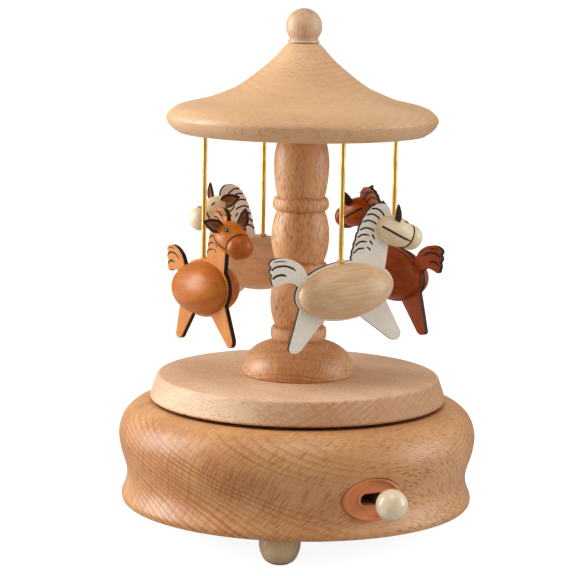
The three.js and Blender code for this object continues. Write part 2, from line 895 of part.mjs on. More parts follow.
function turntableBush() {
  const flange = bushRadius + bushFlangeWidth;
  const flangeBottom = discBottom - bushFlangeThickness;
  const bore = arborRadius + fitGap;
  const profile = [
    [bore, flangeBottom],
    [flange, flangeBottom],
    [flange, discBottom - faceGap],
    [bushRadius, discBottom - faceGap],
    [bushRadius, bushTop],
    [bore, bushTop],
    [bore, flangeBottom],
  ];
  return turned(profile, 20);
}

function turntableDisc() {
  const edge = 0.8;
  const profile = [
    [bushRadius + fitGap, discBottom],
    [discRadius - edge, discBottom],
    ...arc(discRadius - edge, discBottom + edge, edge, -90, 10, 3),
    ...arc(discTopRadius - edge * 2, discTop - edge * 2, edge * 2, 30, 90, 3),
    [dowelHole, discTop],
    [dowelHole, dowelBottom],
    [bushRadius + fitGap, dowelBottom],
    [bushRadius + fitGap, discBottom],
  ];
  return turned(profile, 36);
}

// The dome's outline is a superellipse, a little fuller than a quarter ellipse.
function columnDome() {
  const fullness = 2 / 2.6;
  const steps = 6;
  const seat = columnBottom - faceGap;
  const outline = Array.from({ length: steps + 1 }, (_, step) => {
    const angle = (Math.PI / 2) * (step / steps);
    const radius = domeRadius * Math.cos(angle) ** fullness;
    return [radius, domeBottom + domeHeight * Math.sin(angle) ** fullness];
  }).filter(([radius, height]) => height < seat && radius > dowelHole + 1);
  const profile = [
    [dowelHole, domeBottom],
    ...outline,
    [ringRadius - 1.2, seat],
    [dowelHole, seat],
    [dowelHole, domeBottom],
  ];
  return turned(profile, 24);
}

// One bead ring, and above it one barrel: the barrel's radius rises and falls as a flattened sine.
function columnStage(bottom, barrelHeight, belly, topRadius) {
  const half = collarHeight / 2;
  const steps = 6;
  const bead = arc(ringRadius - half * 0.85, bottom + half, half * 0.85, -80, 80, 4);
  const barrel = Array.from({ length: steps + 1 }, (_, step) => {
    const share = step / steps;
    const ends = neckRadius + (topRadius - neckRadius) * share;
    const radius = ends + (belly - ends) * Math.sin(Math.PI * share) ** 0.75;
    return [radius, bottom + collarHeight + barrelHeight * share];
  });
  return [...bead, ...barrel];
}

function column() {
  const stages = barrelRadii.flatMap((belly, index) => {
    const last = index === barrelRadii.length - 1;
    const height = last ? topBarrelHeight : ringSpacing - collarHeight;
    const topRadius = last ? columnTopRadius : neckRadius;
    return columnStage(columnBottom + index * ringSpacing, height, belly, topRadius);
  });
  const boreTop = dowelTop + fitGap;
  const profile = [
    [dowelHole, columnBottom],
    [neckRadius, columnBottom],
    ...stages,
    [0, columnTop],
    [0, boreTop],
    [dowelHole, boreTop],
    [dowelHole, columnBottom],
  ];
  return turned(profile, 16);
}

function polePlace(index) {
  return aroundAxis(poleCircleRadius, poleAngle(index));
}

function poleAngle(index) {
  return firstPoleAngle + (360 / horseCount) * index;
}

function canopy() {
  const crease = [canopyRadius - creaseInset, canopyBottom + creaseHeight];
  const roof = smooth(
    [
      crease,
      [canopyRadius * 0.845, canopyBottom + canopyHeight * 0.326],
      [canopyRadius * 0.68, canopyBottom + canopyHeight * 0.4],
      [canopyRadius * 0.5, canopyBottom + canopyHeight * 0.505],
      [canopyRadius * 0.34, canopyBottom + canopyHeight * 0.68],
      [canopyRadius * 0.2, canopyBottom + canopyHeight * 0.86],
      [apexRadius, canopyTop],
    ],
    8,
  );
  const rim = smooth(
    [
      [canopyRadius - 3.8, canopyBottom],
      [canopyRadius - 1.7, canopyBottom + 1.6],
      [canopyRadius, canopyBottom + rimHeight - 0.9],
      [canopyRadius - 0.9, canopyBottom + rimHeight + 1],
      crease,
    ],
    5,
  );
  const hole = tenonRadius + fitGap;
  const holeBottom = canopyTop - tenonLength - fitGap;
  const profile = [
    [0, canopyBottom],
    ...rim,
    ...roof.slice(1),
    [hole, canopyTop],
    [hole, holeBottom],
    [0, holeBottom],
  ];
  const sockets = horses.map((_, index) => {
    const socketTop = canopyBottom + poleSocketDepth + fitGap;
    const socket = rod(poleRadius + fitGap, canopyBottom - overcut, socketTop, 10);
    return socket.translate(...polePlace(index), 0);
  });
  return cut(turned(profile, 36), ...sockets);
}

function finialBall() {
  const seat = canopyTop + faceGap;
  const flat = Math.sqrt(finialRadius ** 2 - finialNeckRadius ** 2);
  const centre = seat + finialNeckHeight + flat;
  const start = -THREE.MathUtils.radToDeg(Math.acos(finialNeckRadius / finialRadius));
  const profile = [
    [0, canopyTop - tenonLength],
    [tenonRadius, canopyTop - tenonLength],
    [tenonRadius, seat],
    [finialNeckRadius - 0.2, seat],
    ...arc(0, centre, finialRadius, start, 90, 8),
  ];
  profile[profile.length - 1][0] = 0;
  return turned(profile, 16);
}

function turntableParts() {
  const poles = horses.map((horse, index) => {
    const bottom = canopyBottom - horse.drop - poleDepthInHorse;
    const pole = rod(poleRadius, bottom, canopyBottom + poleSocketDepth, 10);
    const made = mesh("pole_" + (index + 1), pole, brass);
    made.position.set(...polePlace(index), 0);
    return made;
  });
  const arborBottom = crownDiscBottom - 1;
  return group(
    mesh("winding_arbor", rod(arborRadius, arborBottom, arborTop, 20), steel),
    mesh("turntable_bush", turntableBush(), brass),
    mesh("turntable_disc", turntableDisc(), beech),
    mesh("column_dome", columnDome(), beech),
    mesh("column_dowel", rod(dowelRadius, dowelBottom, dowelTop, 16), maple),
    mesh("column", column(), beech),
    mesh("canopy", canopy(), beech),
    mesh("finial_ball", finialBall(), maple),
    ...poles,
  );
}

// ---------------------------------------------------------------- horses

// Drawn with x forward and y up from the pole's crossing with the body's middle line.
const tailOutline = [
  [-10, 4.6],
  [-11, 6.4],
  [-12.6, 9.8],
  [-15, 11.7],
  [-17.7, 12.9],
  [-20.2, 13.3],
  [-22.5, 13.1],
  [-23.4, 12.4],
  [-23.1, 7.7],
  [-22.5, 4.9],
  [-20.6, 5.2],
  [-18.1, 5.4],
  [-16.1, 4.8],
  [-13, 2.2],
];
const hindLegOutline = [
  [-14, -2.2],
  [-14.6, -3.6],
  [-17, -9],
  [-19.3, -15.4],
  [-18.8, -16.3],
  [-17.1, -17],
  [-15.7, -16.6],
  [-11.4, -13.1],
  [-6.4, -7.8],
];
const frontLegOutline = [
  [5, -7.8],
  [16.6, -18.3],
  [18, -18.3],
  [19.3, -17.6],
  [19.7, -16],
  [18.5, -12.6],
  [14.6, -3],
];
const neckOutline = [
  [4, 6.4],
  [4.4, 8.5],
  [5.1, 11.3],
  [6.2, 14.3],
  [7.6, 17.5],
  [9.3, 20.7],
  [11.3, 23.3],
  [13.1, 24.7],
  [15.5, 25.4],
  [17.6, 25],
  [19, 22.8],
  [17.5, 12],
  [16.5, 8],
  [15.2, 3],
];

// Stands a piece drawn in x and y upright, so that drawn y points up.
function upright(geometry) {
  return geometry.rotateX(Math.PI / 2);
}

function poleBore() {
  const bottom = -poleDepthInHorse - fitGap;
  const made = rod(poleRadius + fitGap, bottom, bodyHalfHeight * 3, 12);
  return made.rotateY(radians(horsePitch));
}

function boardPiece(outline, thickness = boardThickness) {
  const flat = extruded(shapeOf([...outline].reverse()), thickness);
  return upright(flat.translate(0, 0, -thickness / 2));
}

function horseBoard() {
  const rim = oval(bodyHalfLength + boardRim, bodyHalfHeight + boardRim);
  const middle = extruded(rim, boardThickness, 12).translate(bodyForward, 0, -boardThickness / 2);
  const outlines = [tailOutline, hindLegOutline, frontLegOutline, neckOutline];
  const limbs = outlines.map((outline) => boardPiece(outline));
  return cut(joined(upright(middle), ...limbs), poleBore());
}

// Half an ellipsoid: a quarter-circle turned about the sideways axis, then stretched.
function bodyHalf(side) {
  const profile = [
    [0, 0],
    ...arc(0, 0, 1, 0, 90, 5),
  ];
  profile[profile.length - 1][0] = 0;
  const dome = turned(profile, 14).scale(bodyHalfLength, bodyHalfHeight, bodyHalfWidth);
  const turnedOut = side > 0 ? upright(dome).rotateZ(Math.PI) : upright(dome);
  const offset = side * (boardThickness / 2 + faceGap);
  return cut(turnedOut.translate(bodyForward, offset, 0), poleBore());
}

function headEgg(extra) {
  const ball = new THREE.SphereGeometry(1, 10, 8);
  ball.scale(headHalfLength + extra, headHalfWidth + extra, headHalfHeight + extra);
  return ball.rotateY(radians(headTilt)).translate(headForward, 0, headUp);
}

function horseHead() {
  return cut(headEgg(0), boardPiece(grown(neckOutline), boardThickness + 2 * fitGap));
}

// The neck's outline moved out from its own middle by twice the fit gap.
function grown(outline) {
  const share = 1 / outline.length;
  const middle = outline.reduce(([x, y], [px, py]) => [x + px * share, y + py * share], [0, 0]);
  return outline.map(([x, y]) => {
    const away = new THREE.Vector2(x - middle[0], y - middle[1]);
    away.setLength(away.length() + 2 * fitGap);
    return [middle[0] + away.x, middle[1] + away.y];
  });
}

function horseEar(side) {
  const leaf = new THREE.Shape();
  leaf.moveTo(0, 0);
  leaf.quadraticCurveTo(-2.6, earLength * 0.45, 0.4, earLength);
  leaf.quadraticCurveTo(2.4, earLength * 0.45, 0, 0);
  const made = upright(extruded(leaf, earThickness, 4).translate(0, 0, -earThickness / 2));
  made.rotateX(radians(-side * earLean));
  made.translate(headForward - earSetback, side * headHalfWidth * 0.62, headUp + headHalfHeight * 0.9);
  return cut(made, headEgg(fitGap));
}

function horseParts(horse, index) {
  const coat = coats[horse.coat];
  const posed = group(
    mesh(horse.name + "_board", horseBoard(), coat.board),
    mesh(horse.name + "_body_left", bodyHalf(1), coat.body),
    mesh(horse.name + "_body_right", bodyHalf(-1), coat.body),
    mesh(horse.name + "_head", horseHead(), coat.head),
    mesh(horse.name + "_ear_left", horseEar(1), leather),
    mesh(horse.name + "_ear_right", horseEar(-1), leather),
  );
  posed.rotation.y = radians(-horsePitch);
  const placed = group(posed);
  placed.rotation.z = radians(poleAngle(index) + 90 + horse.turnIn);
  placed.position.set(...polePlace(index), canopyBottom - horse.drop);
  return placed;
}

const musicBox = group(
  baseParts(),
  switchParts(),
  movementParts(),
  turntableParts(),
  ...horses.map(horseParts),
);
musicBox.name = "carousel_music_box";

export default musicBox;
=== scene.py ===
"""Carousel music box: the finished surfaces, timber, brass, leather and paint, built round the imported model.

Shapes are drawn in millimetres and written into the meshes in metres. +Z is up and the turntable turns about
the Z axis. Azimuths are measured from the side that faces the viewer, positive to the viewer's right.
"""

import math

import bpy
import numpy as np
from mathutils import Matrix, Vector
from mathutils.geometry import tessellate_polygon


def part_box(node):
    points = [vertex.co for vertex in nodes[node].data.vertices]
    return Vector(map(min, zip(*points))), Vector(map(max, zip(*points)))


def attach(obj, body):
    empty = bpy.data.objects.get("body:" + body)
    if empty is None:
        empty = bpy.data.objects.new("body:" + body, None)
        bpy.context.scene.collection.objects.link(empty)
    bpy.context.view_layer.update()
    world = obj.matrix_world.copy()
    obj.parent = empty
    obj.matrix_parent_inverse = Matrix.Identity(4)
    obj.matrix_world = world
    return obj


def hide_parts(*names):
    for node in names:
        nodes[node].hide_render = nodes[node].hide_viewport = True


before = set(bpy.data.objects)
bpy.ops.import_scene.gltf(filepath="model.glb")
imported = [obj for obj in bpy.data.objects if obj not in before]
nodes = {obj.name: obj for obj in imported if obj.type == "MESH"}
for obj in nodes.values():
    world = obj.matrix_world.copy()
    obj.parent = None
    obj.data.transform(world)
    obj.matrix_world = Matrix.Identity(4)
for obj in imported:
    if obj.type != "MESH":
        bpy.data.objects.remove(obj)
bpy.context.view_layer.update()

MM = 0.001
FRONT = -69.5
UP = (0, 0, 1)


def facing(azimuth, rise=0):
    """The unit vector that points level at an azimuth, then tilted up by rise degrees."""
    turn, lift = math.radians(FRONT + azimuth), math.radians(rise)
    return Vector((math.cos(turn) * math.cos(lift), math.sin(turn) * math.cos(lift), math.sin(lift)))


def box(node):
    """A node's lowest and highest corners in millimetres."""
    low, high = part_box(node)
    return np.array(low) / MM, np.array(high) / MM


def middle(node):
    return sum(box(node)) / 2


# ---- surfaces


def turns(count):
    """Angles evenly spaced once round."""
    return np.linspace(0, 2 * math.pi, count, endpoint=False)


def unit(rows):
    """Every vector of an array divided by its own length."""
    return rows / np.linalg.norm(rows, axis=-1, keepdims=True)


def smooth(points, steps=8, closed=False):
    """A Catmull-Rom curve: between b and c it is half of 2b + (c-a)t + (2a-5b+4c-d)t2 + (3b-a-3c+d)t3."""
    p = np.asarray(points, float)
    if closed:
        padded = np.vstack((p[-1:], p, p[:2]))
    else:
        padded = np.vstack((2 * p[:1] - p[1:2], p, 2 * p[-1:] - p[-2:-1]))
    a, b, c, d = (padded[i : len(padded) - 3 + i, None] for i in range(4))
    t = np.linspace(0, 1, steps, endpoint=False)[None, :, None]
    spans = 2 * b + (c - a) * t + (2 * a - 5 * b + 4 * c - d) * t**2 + (3 * b - a - 3 * c + d) * t**3
    curve = spans.reshape(-1, p.shape[1]) / 2
    return curve if closed else np.vstack((curve, p[-1:]))


def rounded(points, setback, steps=4, closed=False):
    """A polyline whose corners are parabolas: each starts and ends its own setback away from the corner."""
    p = np.asarray(points, float)
    size = np.broadcast_to(np.asarray(setback, float), len(p))[:, None, None]
    back, ahead = np.roll(p, 1, 0) - p, np.roll(p, -1, 0) - p
    t = np.linspace(0, 1, steps)[None, :, None]
    start = p[:, None] + size * unit(back)[:, None]
    end = p[:, None] + size * unit(ahead)[:, None]
    corners = (1 - t) ** 2 * start + 2 * t * (1 - t) * p[:, None] + t**2 * end
    if not closed:
        corners[0], corners[-1] = p[0], p[-1]
    line = corners.reshape(-1, p.shape[1])
    kept = np.linalg.norm(line - np.roll(line, 1, 0), axis=1) > 1e-4
    return line[kept | (np.arange(len(line)) == 0)]


def outward(vertices, quads, triangles):
    """Turns a closed shell's faces round if the volume that they sweep from the origin is negative."""
    split = np.vstack((quads[:, :3], quads[:, [0, 2, 3]], triangles))
    a, b, c = (vertices[split[:, corner]] for corner in range(3))
    if np.einsum("ij,ij->", a, np.cross(b, c)) < 0:
        quads, triangles = quads[:, ::-1], triangles[:, ::-1]
    return vertices, quads, triangles


def surface(points, wrap_rows=False, first=None, last=None):
    """A grid of points, rows x columns, closed round its columns. Its end rows close on points."""
    rows, columns = points.shape[:2]
    row = np.arange(rows if wrap_rows else rows - 1)[:, None]
    column = np.arange(columns)[None, :]
    below, above, beside = row * columns, (row + 1) % rows * columns, (column + 1) % columns
    corners = np.broadcast_arrays(below + column, below + beside, above + beside, above + column)
    quads = np.stack(corners, -1).reshape(-1, 4)
    vertices = points.reshape(-1, 3)
    triangles = np.empty((0, 3), int)
    if not wrap_rows:
        ring = np.arange(columns)
        onward = (ring + 1) % columns
        tips = [points[0].mean(0) if first is None else first, points[-1].mean(0) if last is None else last]
        tip = np.full(columns, len(vertices))
        top = (rows - 1) * columns
        lower = np.stack((onward, ring, tip), -1)
        upper = np.stack((top + ring, top + onward, tip + 1), -1)
        triangles = np.vstack((lower, upper))
        vertices = np.vstack((vertices, tips))
    return outward(vertices, quads, triangles)


def lathe(profile, segments=96):
    """A profile of (radius, height) swept round the Z axis: x = r cos t, y = r sin t. A profile that starts
    and ends off the axis closes on itself."""
    profile = np.asarray(profile, float)
    on_axis = profile[:, 0] < 1e-6
    turn = turns(segments)
    radius, height = profile[~on_axis, :1], profile[~on_axis, 1:]
    points = np.stack((radius * np.cos(turn), radius * np.sin(turn), height + 0 * turn), -1)
    tips = [(0, 0, height) for height in profile[on_axis][:, 1]]
    first = tips[0] if on_axis[0] else None
    last = tips[-1] if on_axis[-1] else None
    return surface(points, wrap_rows=not on_axis.any(), first=first, last=last)


def turned_curve(centre, radius, start, end, steps=12):
    """Points of (radius, height) on a circular arc, from one angle above the level to another."""
    angle = np.radians(np.linspace(start, end, steps))
    return np.stack((centre[0] + radius * np.cos(angle), centre[1] + radius * np.sin(angle)), -1)


def tube(path, radius, sides):
    """A round bar along a path: each ring lies across the path's direction, turned as little as possible."""
    path = np.asarray(path, float)
    ahead = unit(np.gradient(path, axis=0))
    side = np.empty_like(path)
    guess = np.array(UP if abs(ahead[0][2]) < 0.9 else (1, 0, 0), float)
    for i, direction in enumerate(ahead):
        guess = unit(guess - direction * guess.dot(direction))
        side[i] = guess
    other = np.cross(ahead, side)
    angle = turns(sides)[None, :, None]
    size = np.broadcast_to(np.asarray(radius, float), len(path))[:, None, None]
    ring = np.cos(angle) * side[:, None] + np.sin(angle) * other[:, None]
    return surface(path[:, None] + size * ring)


def ribbon(path, normals, width, lift=0.06):
    """A stroke that follows a path on a face: a low arch across its width, narrowed towards its far end."""
    path, normals = np.asarray(path, float), np.asarray(normals, float)
    normals = np.broadcast_to(normals, path.shape)
    side = unit(np.cross(normals, np.gradient(path, axis=0)))
    along = np.linspace(0, 1, len(path))
    taper = 0.45 + 0.55 * np.minimum(1, 5 * (1 - along))
    across = np.array((-1, -0.6, 0.6, 1, 0.6, -0.6)) / 2
    height = np.array((0, 1, 1, 0, -1, -1)) * lift
    sideways = side[:, None] * (across * width * taper[:, None])[..., None]
    return surface(path[:, None] + sideways + normals[:, None] * height[:, None])


def slab(outline, thickness, edge=0.12):
    """A flat board between two copies of a closed outline in x and y, its edges eased all the way round."""
    outline = np.asarray(outline, float)
    along = np.roll(outline, -1, 0) - np.roll(outline, 1, 0)
    out = unit(np.stack((along[:, 1], -along[:, 0]), -1))
    area = np.sum(outline[:, 0] * np.roll(outline[:, 1], -1) - outline[:, 1] * np.roll(outline[:, 0], -1))
    inner = outline - out * edge * np.sign(area)
    half = thickness / 2
    levels = ((inner, -half), (outline, -half + edge), (outline, half - edge), (inner, half))
    rings = [np.column_stack((line, np.full(len(line), height))) for line, height in levels]
    count = len(outline)
    ring = np.arange(count)
    onward = (ring + 1) % count
    starts = (0, count, 2 * count)
    wall = [np.stack((k + ring, k + onward, k + count + onward, k + count + ring), -1) for k in starts]
    face = np.array(tessellate_polygon([[Vector((x, y, 0)) for x, y in inner]]))
    vertices = np.vstack(rings)
    a, b, c = (inner[face[:, i]] for i in range(3))
    turned = (b[:, 0] - a[:, 0]) * (c[:, 1] - a[:, 1]) - (b[:, 1] - a[:, 1]) * (c[:, 0] - a[:, 0]) < 0
    face[turned] = face[turned][:, ::-1]
    top, bottom = face + 3 * count, face[:, ::-1]
    quads = np.vstack(wall)
    if area < 0:
        quads = quads[:, ::-1]
    return vertices, quads, np.vstack((top, bottom))


def moved(shell, matrix):
    """A shell carried by a 4 x 4 matrix; a mirroring one turns the faces round again."""
    vertices, quads, triangles = shell
    m = np.array(matrix)
    vertices = vertices @ m[:3, :3].T + m[:3, 3]
    if np.linalg.det(m[:3, :3]) < 0:
        quads, triangles = quads[:, ::-1], triangles[:, ::-1]
    return vertices, quads, triangles


def linked(name, data):
    """A new object in the scene."""
    made = bpy.data.objects.new(name, data)
    bpy.context.scene.collection.objects.link(made)
    return made


def piece(name, shells, finish, body, stands_for=(), sharp=32):
    """One object made of closed shells. With several finishes, each shell takes the one in its own place."""
    finishes = finish if isinstance(finish, list) else [finish] * len(shells)
    kinds = list(dict.fromkeys(finishes))
    mesh = bpy.data.meshes.new(name)
    vertices, faces, paint, start = [], [], [], 0
    for (points, quads, triangles), own in zip(shells, finishes):
        vertices.append(points)
        faces += (quads + start).tolist() + (triangles + start).tolist()
        paint += [kinds.index(own)] * (len(quads) + len(triangles))
        start += len(points)
    mesh.from_pydata(np.vstack(vertices) * MM, [], faces)
    for kind in kinds:
        mesh.materials.append(kind)
    mesh.polygons.foreach_set("material_index", paint)
    mesh.shade_smooth()
    mesh.set_sharp_from_angle(angle=math.radians(sharp))
    made = linked(name, mesh)
    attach(made, body)
    if stands_for:
        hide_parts(*stands_for)
    return made


# ---- finishes


def tone(red, green, blue):
    """A colour in screen levels, as the linear light that a shader takes."""
    levels = np.array((red, green, blue)) / 255
    linear = np.where(levels <= 0.04045, levels / 12.92, ((levels + 0.055) / 1.055) ** 2.4)
    return (*linear.tolist(), 1)


def operator(operation):
    """A Value's method that adds one Math node."""
    return lambda value, *others: value.math(operation, *others)


class Value:
    """A number worked out by a material's nodes. Its operators add Math nodes."""

    def __init__(self, finish, socket):
        self.finish, self.socket = finish, socket

    def math(self, operation, *others):
        return self.finish.node("ShaderNodeMath", dict(enumerate((self, *others))), operation=operation)

    __add__ = __radd__ = operator("ADD")
    __sub__ = operator("SUBTRACT")
    __mul__ = __rmul__ = operator("MULTIPLY")
    __truediv__ = operator("DIVIDE")
    __pow__ = operator("POWER")
    fract = operator("FRACT")
    least = operator("MINIMUM")
    most = operator("MAXIMUM")

    def __rsub__(self, other):
        return self.finish.node("ShaderNodeMath", {0: other, 1: self}, operation="SUBTRACT")

    def step(self, low, high):
        """0 up to low and 1 from high, with a smooth rise between them. Low may be above high."""
        return self.finish.node(
            "ShaderNodeMapRange", {0: self, 1: low, 2: high, 3: 0.0, 4: 1.0}, interpolation_type="SMOOTHSTEP"
        )


class Finish:
    """One material: its nodes, and the shader that they feed."""

    def __init__(self, name, **constants):
        self.material = bpy.data.materials.new(name)
        self.material.use_nodes = True
        self.tree = self.material.node_tree
        self.shader = self.tree.nodes["Principled BSDF"]
        for label, value in constants.items():
            self.shader.inputs[label.replace("_", " ").title().replace("Ior", "IOR")].default_value = value

    def node(self, kind, inputs, output=0, **settings):
        """Adds a node: its settings first, then each input's value or link. Gives one output as a Value."""
        made = self.tree.nodes.new(kind)
        for setting, value in settings.items():
            setattr(made, setting, value)
        for key, value in inputs.items():
            if isinstance(value, Value):
                self.tree.links.new(value.socket, made.inputs[key])
            else:
                made.inputs[key].default_value = value
        return Value(self, made.outputs[output])

    def feed(self, label, value):
        self.tree.links.new(value.socket, self.shader.inputs[label])

    def position(self):
        return self.node("ShaderNodeTexCoord", {}, "Object")

    def placed(self, origin, across, grain):
        """Position in millimetres in a frame of its own: x across from the origin and z along the grain."""
        z = Vector(grain).normalized()
        x = (Vector(across) - z * z.dot(Vector(across))).normalized()
        turn = Matrix((x, z.cross(x), z))
        inputs = {
            "Vector": self.position(),
            "Location": -(turn @ Vector(origin)) / MM,
            "Rotation": turn.to_euler(),
            "Scale": (1 / MM,) * 3,
        }
        return self.node("ShaderNodeMapping", inputs)

    def end_grain(self, grain):
        """How squarely a face looks along the grain: 0 for a side face and 1 for an end."""
        normal = self.node("ShaderNodeTexCoord", {}, "Normal")
        inputs = {0: normal, 1: Vector(grain).normalized()}
        facing_end = self.node("ShaderNodeVectorMath", inputs, "Value", operation="DOT_PRODUCT")
        return facing_end * facing_end

    def split(self, vector):
        made = self.node("ShaderNodeSeparateXYZ", {0: vector})
        return [Value(self, output) for output in made.socket.node.outputs]

    def joined(self, x, y, z):
        return self.node("ShaderNodeCombineXYZ", {0: x, 1: y, 2: z})

    def noise(self, vector, scale, detail, roughness=0.5):
        inputs = {"Vector": vector, "Scale": scale, "Detail": detail, "Roughness": roughness}
        return self.node("ShaderNodeTexNoise", inputs)

    def cloud(self, x, y, z, detail=2.0, roughness=0.5):
        return self.noise(self.joined(x, y, z), 1.0, detail, roughness)

    def cells(self, vector):
        return self.node("ShaderNodeTexVoronoi", {"Vector": vector, "Scale": 1.0, "Randomness": 1.0})

    def mix(self, factor, low, high):
        """One colour where the factor is 0 and another where it is 1."""
        return self.node("ShaderNodeMix", {0: factor, 6: low, 7: high}, 2, data_type="RGBA")

    def bump(self, height, depth):
        """Feeds the normal with a height from 0 to 1 that stands for a depth in millimetres."""
        inputs = {"Height": height, "Distance": depth * MM, "Strength": 1.0}
        self.feed("Normal", self.node("ShaderNodeBump", inputs))


# How strong each mark of a timber is, the distance from its axis to the pith, and how far its rings wander.
TIMBER_MARKS = {
    "ring_depth": 0.9, "ray_depth": 0.62, "ray_share": 0.42, "spokes": 0.45, "end": 0.3, "blotch": 0.4,
    "wander": 0.9, "pith": 250, "rough": 0.42,
}


def timber(name, origin, across, grain, light, dark, fleck, ring=1.7, ray=(9, 0.24, 3.2), **more):
    """Beech or maple as a solid: rings round a far pith, ray cells that show as dashes on one face, flecks
    on another and fine lines on the end grain, and fibre along the grain. The origin is on the pith."""
    marks = {**TIMBER_MARKS, **more}
    finish = Finish(name, roughness=marks["rough"], coat_weight=0.05, coat_roughness=0.5)
    place = finish.placed(origin, across, grain)
    x, y, z = finish.split(place)
    drift = finish.cloud(x / 22, y / 22, z / 60, detail=3.0) - 0.5
    reach = (x * x + y * y) ** 0.5
    depth = reach + drift * (2 * marks["wander"])
    around = finish.node("ShaderNodeMath", {0: y, 1: x}, operation="ARCTAN2") * marks["pith"]
    uneven = finish.cloud(depth / 7, 0.0, 0.0, detail=1.0) - 0.5
    phase = (depth / ring + uneven * 1.6).fract()
    late = phase.step(0.3, 0.97) * phase.step(1.0, 0.96)
    late = late * finish.cloud(depth / 9 + 3.7, 0.0, 0.0, detail=1.0).step(0.35, 0.65)
    ray_place = finish.joined(depth / ray[0], around / ray[1], z / ray[2])
    rays = finish.cells(ray_place).step(marks["ray_share"], marks["ray_share"] * 0.55)
    patch = finish.cloud(x / 9, y / 9, z / 30)
    rays = rays * patch.step(0.3, 0.5)
    fibre = finish.cloud(x / 0.45, y / 0.45, z / 7, roughness=0.7)
    pores = finish.cloud(x / 0.16, y / 0.16, z / 1.6, detail=1.0).step(0.58, 0.7)
    blotch = finish.cloud(x / 16, y / 16, z / 45).step(0.3, 0.72)
    end = finish.end_grain(grain)
    rings = late * (end * 1.25 + 0.12) * marks["ring_depth"]
    spokes = finish.cloud(depth / 16, around / 0.42, z / 16, detail=1.0).step(0.5, 0.62)
    rings = rings + spokes * end * marks["spokes"]
    clouds = end * marks["end"] + blotch * marks["blotch"]
    shade = (rings + clouds + (fibre - 0.5) * 0.5 + pores * 0.12).most(0.0)
    wood = finish.mix(shade.least(1.0), tone(*light), tone(*dark))
    finish.feed("Base Color", finish.mix(rays * marks["ray_depth"], wood, tone(*fleck)))
    finish.feed("Roughness", fibre * 0.16 + rays * 0.1 + (marks["rough"] - 0.1))
    finish.bump(1 - (rays * 0.5 + pores * 0.3 + late * 0.2), 0.02)
    return finish.material


def painted(name, base, worn, speckle=0.5, rough=0.45, scale=0.5, coat=0.2, relief=0.015):
    """A stained or painted wood: two tones mixed by a cloud and a fine speckle, over a faint relief."""
    finish = Finish(name, roughness=rough, coat_weight=coat, coat_roughness=0.25, specular_ior_level=0.3)
    x, y, z = finish.split(finish.position())
    place = finish.joined(x / MM, y / MM, z / MM)
    cloud = finish.noise(place, 0.22, 3.0).step(0.3, 0.7)
    grit = finish.noise(place, 1 / scale, 3.0, 0.65).step(0.35, 0.7)
    finish.feed("Base Color", finish.mix(cloud * (1 - speckle) + grit * speckle, tone(*base), tone(*worn)))
    finish.feed("Roughness", grit * 0.12 + (rough - 0.06))
    finish.bump(grit, relief)
    return finish.material


def satin_wood(name, light, dark, grain, origin, rough=0.36, line=1.6, coat=0.35):
    """A small turned piece under satin lacquer: long soft bands and fine fibre along the grain."""
    finish = Finish(name, roughness=rough, coat_weight=coat, coat_roughness=0.2, specular_ior_level=0.3)
    across = Vector(grain).cross(Vector((0.3, 0.5, 0.8)))
    x, y, z = finish.split(finish.placed(origin, across, grain))
    bands = finish.cloud(x / line, y / line, z / 26, detail=3.0, roughness=0.6).step(0.32, 0.7)
    fibre = finish.cloud(x / 0.25, y / 0.25, z / 4, roughness=0.7)
    cloud = finish.cloud(x / 7, y / 7, z / 12).step(0.35, 0.7)
    shade = (bands * 0.5 + cloud * 0.3 + (fibre - 0.4) * 0.5).most(0.0).least(1.0)
    finish.feed("Base Color", finish.mix(shade, tone(*light), tone(*dark)))
    finish.feed("Roughness", fibre * 0.14 + (rough - 0.07))
    finish.bump(fibre, 0.008)
    return finish.material


def metal(name, base, tarnish, rough, scale=1.5):
    """Brass or steel with faint tarnish, which is duller and darker in patches."""
    finish = Finish(name, metallic=1.0, roughness=rough)
    x, y, z = finish.split(finish.position())
    place = finish.joined(x / MM, y / MM, z / MM / 3)
    cloud = finish.noise(place, 1 / scale, 3.0, 0.6).step(0.35, 0.7)
    finish.feed("Base Color", finish.mix(cloud, tone(*base), tone(*tarnish)))
    finish.feed("Roughness", cloud * 0.18 + rough)
    return finish.material


